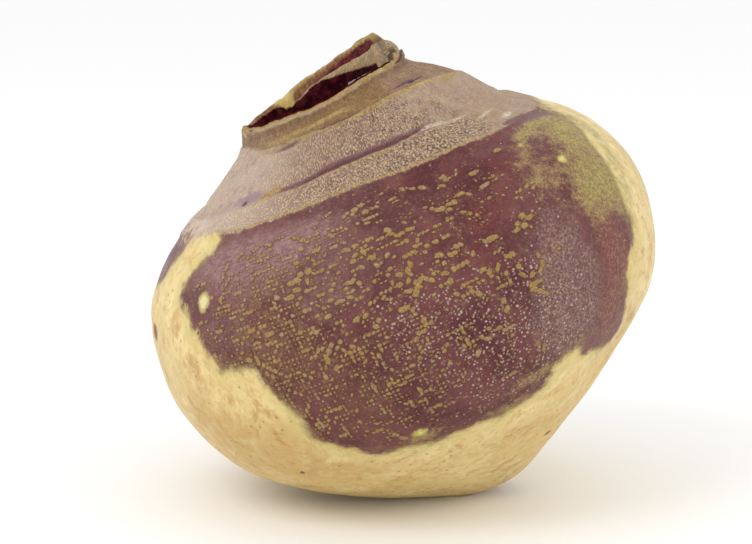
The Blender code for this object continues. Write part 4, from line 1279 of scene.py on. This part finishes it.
def crown_colour(p):
    """Inside the lip: gold with painted light, a red-brown gap, a fibrous ring, a stippled lobe, a maroon
    hollow in painted shade.
    """
    wave = p.wander(0.5, 1.4, 5, 0.68)
    inward = p.plus(p.mask("inward"), wave)
    fibre = p.streaks(0.38, 0.64, p.lay(CROWN_RADIUS, 0.9, 1.2), 6, 0.72)
    colour = p.mix((0.195, 0.07, 0.034), (0.33, 0.17, 0.075), fibre)
    golden = p.mix((0.31, 0.185, 0.06), (0.5, 0.36, 0.14), fibre)
    gold_share = p.ragged("lip_gold", 0.35, 2, 5, 0.7)
    colour = p.mix(colour, golden, p.climb(p.plus(inward, p.times(gold_share, -2.3)), 1.3, 0.2))
    # Painted light: the lip's brightest stretch, painted pale gold as if lit
    colour = p.mix(colour, (0.66, 0.475, 0.17), p.patch("painted_lit", 0.3, 0.75, 0.2, 1.5, 4, 0.65))
    red_gap = p.span(inward, 2.8, 3.5, 8.2, 9.0)
    red = p.mix((0.055, 0.004, 0.008), (0.195, 0.032, 0.026), p.cloud(0.38, 0.66, 1.3, 4, 0.7))
    colour = p.mix(colour, red, red_gap, p.mask("red_gap"))
    ring = p.mix((0.31, 0.19, 0.105), (0.48, 0.345, 0.195), fibre)
    ring = p.mix(ring, (0.42, 0.315, 0.085), p.cloud(0.5, 0.66, 2.6, 4, 0.65), 0.5)
    colour = p.mix(colour, ring, p.climb(inward, 7.8, 8.6), p.mask("ring_tan"))
    lobe = p.mix((0.21, 0.135, 0.075), (0.47, 0.36, 0.225), p.cloud(0.38, 0.62, 0.6, 4, 0.7))
    colour = p.mix(colour, lobe, p.mask("lobe"), p.climb(p.mask("inward"), 9.0, 7.0))
    slot = p.span(inward, 0.4, 1.2, 2.2, 3.4)
    colour = p.mix(colour, (0.095, 0.06, 0.024), p.mask("lip_dark"), slot)
    # The hollow's near-black colour: partly its own maroon tissue, partly painted shade of its depth
    dark = p.mix((0.02, 0.001, 0.003), (0.078, 0.008, 0.012), p.cloud(0.4, 0.7, 2.4, 4, 0.6))
    mould = p.cloud(0.62, 0.72, 3, 4, 0.65)
    dark = p.mix(dark, (0.06, 0.05, 0.018), mould, 0.5)
    colour = p.mix(colour, dark, p.climb(p.plus(p.mask("past_lip"), p.times(wave, 0.5)), -0.2, 0.3))
    membrane = p.climb(p.mask("membrane"), 0.6, 0.85)
    return p.mix(colour, (0.32, 0.255, 0.29), membrane), p.times(fibre, 0.7)


def skin_material():
    """Every colour of the skin laid over the one before, with its grain as bump and its sheen."""
    p = Paint("rutabaga_skin_detail")
    belly, belly_height = field_colour(p)
    neck, neck_height = neck_colour(p)
    collar, collar_height = collar_colour(p)
    crown, crown_height = crown_colour(p)

    edge = p.wander(0.45, 1.8, 6, 0.7)
    in_neck = p.climb(p.plus(p.mask("into_neck"), edge), -0.2, 0.25)
    in_collar = p.climb(p.plus(p.mask("above_collar"), edge), -0.3, 0.5)
    in_crown = p.climb(p.mask("inward"), -0.1, 0.2)
    lens = p.patch("lens", 0.25, 0.9, 0.3, 1.6, 5, 0.7)
    colour = p.mix(p.mix(belly, neck, in_neck), (0.155, 0.07, 0.078), lens, 0.85)
    colour = p.mix(p.mix(colour, collar, in_collar), crown, in_crown)
    p.give(p.shader.inputs["Base Color"], colour)

    fine = p.times(p.noise(p.upright, 0.55, 4, 0.6), 0.05)
    height = p.blend(p.times(belly_height, 0.1), p.times(neck_height, 0.22), in_neck)
    height = p.blend(height, p.times(collar_height, 0.25), in_collar)
    height = p.blend(height, p.times(crown_height, 0.22), in_crown)
    p.give(p.shader.inputs["Normal"], p.bump(p.plus(height, fine)))

    rough = p.blend(p.blend(0.46, 0.66, in_neck), 0.78, in_crown)
    p.give(p.shader.inputs["Roughness"], p.plus(rough, p.wander(0.07, 5, 4, 0.6)))
    in_hollow = p.climb(p.mask("past_lip"), -0.5, 0.5)
    p.give(p.shader.inputs["Specular IOR Level"], p.blend(0.25, 0.03, in_hollow))
    return p.material


def on_map(at, bearing, height):
    """A place on the flat map that flecks are laid out on, in millimetres round the skin and along it."""
    return np.radians(bearing) * BELLY_RADIUS, along_at(at, height)


def off_map(at, x, y):
    """The bearing and height of a place on that map."""
    return np.degrees(x / BELLY_RADIUS), np.interp(y, at["outside_along"], at["outside_heights"])


def fleck_list(at):
    """Every bead of every fleck: bearing, height, length, width, slant off the ring, paleness."""
    chance = np.random.default_rng(FLECK_SEED)
    taken = [(*on_map(at, *mark[:2]), mark[2]) for mark in STRIKING_FLECKS]
    taken += [(*on_map(at, *patch[:2]), PALE_SPOT_ROOM * patch[3]) for patch in PATCHES["pale"]]
    beads = [bead for mark in STRIKING_FLECKS for bead in beads_of(at, mark, STRIKING_PALENESS, chance)]
    for bearing, height, half_width, half_height, count, longest, slant, spread, paleness in FLECK_FIELDS:
        middle_x, middle_y = on_map(at, bearing, height)
        for _ in range(count):
            x = middle_x + half_width * np.clip(chance.normal(0.0, FIELD_SPREAD), -FIELD_LIMIT, FIELD_LIMIT)
            y = middle_y + half_height * np.clip(chance.normal(0.0, FIELD_SPREAD), -FIELD_LIMIT, FIELD_LIMIT)
            turn = slant + chance.normal(0.0, spread)
            for _ in range(chance.integers(1, LONGEST_ROW + 1)):
                length = longest * chance.uniform(*LENGTH_SHARES) ** LENGTH_BIAS
                width = min(length, WIDEST_BASE + WIDEST_SHARE * longest) * chance.uniform(*WIDTH_SHARES)
                if fits((x, y, length), taken) and depth_at(at, x, y) > FLECK_MARGIN:
                    taken.append((x, y, length))
                    mark = (*off_map(at, x, y), length, width, turn + chance.normal(0.0, SLANT_SCATTER))
                    beads += beads_of(at, mark, paleness + chance.normal(0.0, PALENESS_SCATTER), chance)
                step = length * ROW_STEP + chance.uniform(*ROW_GAP)
                x += step * math.cos(math.radians(turn))
                y += step * math.sin(math.radians(turn))
    return beads


def beads_of(at, mark, paleness, chance):
    """One fleck, as a chain of beads that run into each other where it is slender."""
    bearing, height, length, width, slant = mark
    bead = min(width, BEAD_LIMIT)
    count = 1 if length < CHAIN_FROM * bead else max(2, round(length * width / (BEAD_STEP * bead**2)))
    x, y = on_map(at, bearing, height)
    cos, sin = math.cos(math.radians(slant)), math.sin(math.radians(slant))
    beads = []
    for step in range(count):
        aside = (chance.uniform(-0.5, 0.5) * (width - bead) + chance.normal(0.0, 0.14) * bead) * (count > 1)
        ahead = ((step + 0.5) / count - 0.5) * length
        place = off_map(at, x + ahead * cos - aside * sin, y + ahead * sin + aside * cos)
        size = bead * chance.uniform(*BEAD_LENGTHS) if count > 1 else length
        across = bead * chance.uniform(*BEAD_WIDTHS)
        turn = slant + chance.normal(0.0, SLANT_SCATTER) * (count > 1)
        beads.append((*place, size, across, turn, paleness))
    return beads


def fits(spot, taken):
    """Whether a fleck at this spot stays clear of the ones already there."""
    others = np.array(taken)
    room = np.hypot(others[:, 0] - spot[0], others[:, 1] - spot[1])
    return bool(np.all(room > 0.5 * (others[:, 2] + spot[2]) * FLECK_ROOM))


def nearest_point(at, bearing, height):
    """The row and column of the outside mesh point nearest to a place."""
    along = along_at(at, height)
    row = int(np.searchsorted(at["run"][:, 0], along).clip(1, len(at["run"]) - 2))
    column = int(np.argmin(np.abs(turn_from(bearing, at["bearing"][row]))))
    last = int(np.argmax(at["in_crown"][:, 0]))
    return int(np.argmin(np.abs(at["run"][:last, column] - along))), column


def depth_at(at, x, y):
    """How deep a place on the map lies inside the purple skin, which ends a margin below the band."""
    row, column = nearest_point(at, *off_map(at, x, y))
    return min(at["masks"]["depth"][row, column], -BAND_MARGIN - at["masks"]["above_band"][row, column])


def between_points(grid, row, column):
    """Points of the skin between its mesh points, by fractional row and column."""
    low = np.floor(row).astype(int)
    left = np.floor(column).astype(int)
    up = (row - low)[:, None]
    right = (column - left)[:, None]
    near, far = left % COLUMNS, (left + 1) % COLUMNS
    bottom = grid[low, near] * (1 - right) + grid[low, far] * right
    top = grid[low + 1, near] * (1 - right) + grid[low + 1, far] * right
    return bottom * (1 - up) + top * up


def fleck_outline(chance, sides):
    """A rounded, lightly lumpy outline of that many sides, as the turn and the reach of each corner."""
    turn = np.linspace(0.0, 2 * np.pi, sides, endpoint=False)
    square = np.abs(np.cos(turn)) ** FLECK_SQUARENESS + np.abs(np.sin(turn)) ** FLECK_SQUARENESS
    lumps = sum(
        chance.normal(0.0, FLECK_LUMPS) * np.cos(k * turn + chance.uniform(0.0, 2 * np.pi))
        for k in range(2, min(sides // 2, FINEST_LUMPS))
    )
    return turn, square ** (-1 / FLECK_SQUARENESS) + lumps


def fleck_mesh(at, grid):
    """All the flecks as low closed domes bedded in the skin, each with its own ragged outline."""
    chance = np.random.default_rng(FLECK_SEED + 1)
    down_rows = np.gradient(grid, axis=0)
    round_columns = (np.roll(grid, -1, axis=1) - np.roll(grid, 1, axis=1)) / 2
    normal = np.cross(round_columns, down_rows)
    normal /= np.linalg.norm(normal, axis=2, keepdims=True)
    row_step = np.linalg.norm(down_rows, axis=2)
    column_step = np.linalg.norm(round_columns, axis=2)
    points, faces, rims, tones = [], [], [], []
    for bearing, height, length, width, slant, paleness in fleck_list(at):
        row, column = nearest_point(at, bearing, height)
        _, sides, levels = next(shape for shape in FLECK_SHAPES if length <= shape[0])
        turn, outline = fleck_outline(chance, sides)
        bend = chance.normal(0.0, FLECK_BEND) * length * (length > SLENDER * width)
        tall = FLECK_HEIGHT * (0.5 + 0.5 * min(length / FULL_HEIGHT_LENGTH, 1.0))
        cos, sin = math.cos(math.radians(slant)), math.sin(math.radians(slant))
        first = len(points)
        for share, lift, rim in levels:
            count = sides if share else 1
            u = share * outline[:count] * np.cos(turn[:count]) * length / 2
            v = share * outline[:count] * np.sin(turn[:count]) * width / 2
            v += bend * ((2 * u / length) ** 2 - 0.3)
            rows = row + (u * sin + v * cos) / row_step[row, column]
            columns = column + (u * cos - v * sin) / column_step[row, column]
            above = lift * tall + chance.normal(0.0, FLECK_ROUGHNESS * max(lift, 0.0), count)
            out = between_points(normal, rows, columns) * above[:, None]
            points.extend(between_points(grid, rows, columns) + out)
            rims += [rim] * count
            tones += [paleness] * count
        faces += dome_faces(first, sides, len(levels) - 2)
    return np.array(points), faces, rims, tones


def dome_faces(first, sides, rings):
    """The faces of one dome: a fan at the top, bands between its rings and a fan underneath."""
    faces = []
    bottom = first + 1 + rings * sides
    for i in range(sides):
        j = (i + 1) % sides
        faces.append((first, first + 1 + i, first + 1 + j))
        for ring in range(rings - 1):
            upper = first + 1 + ring * sides
            lower = upper + sides
            faces.append((upper + i, lower + i, lower + j, upper + j))
        faces.append((bottom, bottom - sides + j, bottom - sides + i))
    return faces


def fleck_object(at, grid):
    """The corky flecks as one piece, each point marked with how near its rim it is and how pale its fleck."""
    points, faces, rims, tones = fleck_mesh(at, grid)
    flecks = new_object("corky_flecks", points, faces)
    mark_points(flecks.data, "rim", "FLOAT", rims)
    mark_points(flecks.data, "tone", "FLOAT", tones)
    flecks.data.shade_smooth()
    return flecks


def fleck_material():
    """Golden-tan cork, paler on some flecks, grained, darkening in painted shade to a maroon rim where each
    meets the skin.
    """
    p = Paint("cork")
    grainy = p.cloud(0.3, 0.7, 0.5, 4, 0.65)
    golden = p.mix((0.215, 0.118, 0.026), (0.4, 0.255, 0.068), grainy)
    pale = p.mix((0.23, 0.135, 0.075), (0.44, 0.3, 0.175), grainy)
    colour = p.mix(golden, pale, p.mask("tone"))
    colour = p.mix(colour, (0.34, 0.165, 0.07), p.cloud(0.5, 0.66, 6, 2), 0.35)
    # Painted shade: each fleck darkens towards its rim, where its dome meets the skin
    edge = p.patch("rim", 0.1, 1.0, 0.12, 0.5, 2)
    colour = p.mix(colour, (0.115, 0.042, 0.03), edge, 0.85)
    p.give(p.shader.inputs["Base Color"], colour)
    p.give(p.shader.inputs["Normal"], p.bump(p.times(grainy, 0.08)))
    p.give(p.shader.inputs["Roughness"], p.line(grainy, 0.12, 0.52))
    p.shader.inputs["Specular IOR Level"].default_value = CORK_SPECULAR
    return p.material


def add_piece(piece, material):
    """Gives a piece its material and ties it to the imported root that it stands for."""
    piece.data.materials.append(material)
    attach(piece, "root")
    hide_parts("rutabaga")


def main():
    at = lay_out()
    add_masks(at)
    grid = skin_points(at)
    add_piece(skin_object(at, grid), skin_material())
    add_piece(fleck_object(at, grid), fleck_material())
    stage(bpy.context.scene)


def stage(scene):
    """The floor, the lights and the camera."""
    floor_mesh = bpy.data.meshes.new("floor")
    corners = [(x * FLOOR_HALF, y * FLOOR_HALF, 0.0) for x, y in ((-1, -1), (1, -1), (1, 1), (-1, 1))]
    floor_mesh.from_pydata(corners, [], [(0, 1, 2, 3)])
    floor = bpy.data.objects.new("floor", floor_mesh)
    scene.collection.objects.link(floor)
    paint = Paint("floor_white")
    paint.shader.inputs["Base Color"].default_value = (FLOOR_WHITE, FLOOR_WHITE, FLOOR_WHITE, 1.0)
    paint.shader.inputs["Roughness"].default_value = FLOOR_ROUGHNESS
    floor_mesh.materials.append(paint.material)

    for name, place, size, power in LIGHTS:
        light = bpy.data.lights.new(name, "AREA")
        light.size = size
        light.energy = power
        lamp = bpy.data.objects.new(name, light)
        lamp.location = place
        lamp.rotation_euler = (Vector(LIGHT_AIM) - Vector(place)).to_track_quat("-Z", "Y").to_euler()
        scene.collection.objects.link(lamp)

    world = bpy.data.worlds.new("studio")
    world.use_nodes = True
    world.node_tree.nodes["Background"].inputs["Color"].default_value = (1.0, 1.0, 1.0, 1.0)
    world.node_tree.nodes["Background"].inputs["Strength"].default_value = WORLD_STRENGTH
    scene.world = world
    scene.view_settings.view_transform = "Standard"

    camera = bpy.data.cameras.new("camera")
    camera.lens = LENS
    camera.sensor_width = SENSOR
    eye = bpy.data.objects.new("camera", camera)
    tilt = math.radians(ELEVATION)
    back = Vector((0.0, -math.cos(tilt), math.sin(tilt)))
    eye.location = (Vector(AIM) + back * VIEW_WIDTH * LENS / SENSOR) * MM
    eye.rotation_euler = back.to_track_quat("Z", "Y").to_euler()
    scene.collection.objects.link(eye)
    scene.camera = eye


main()
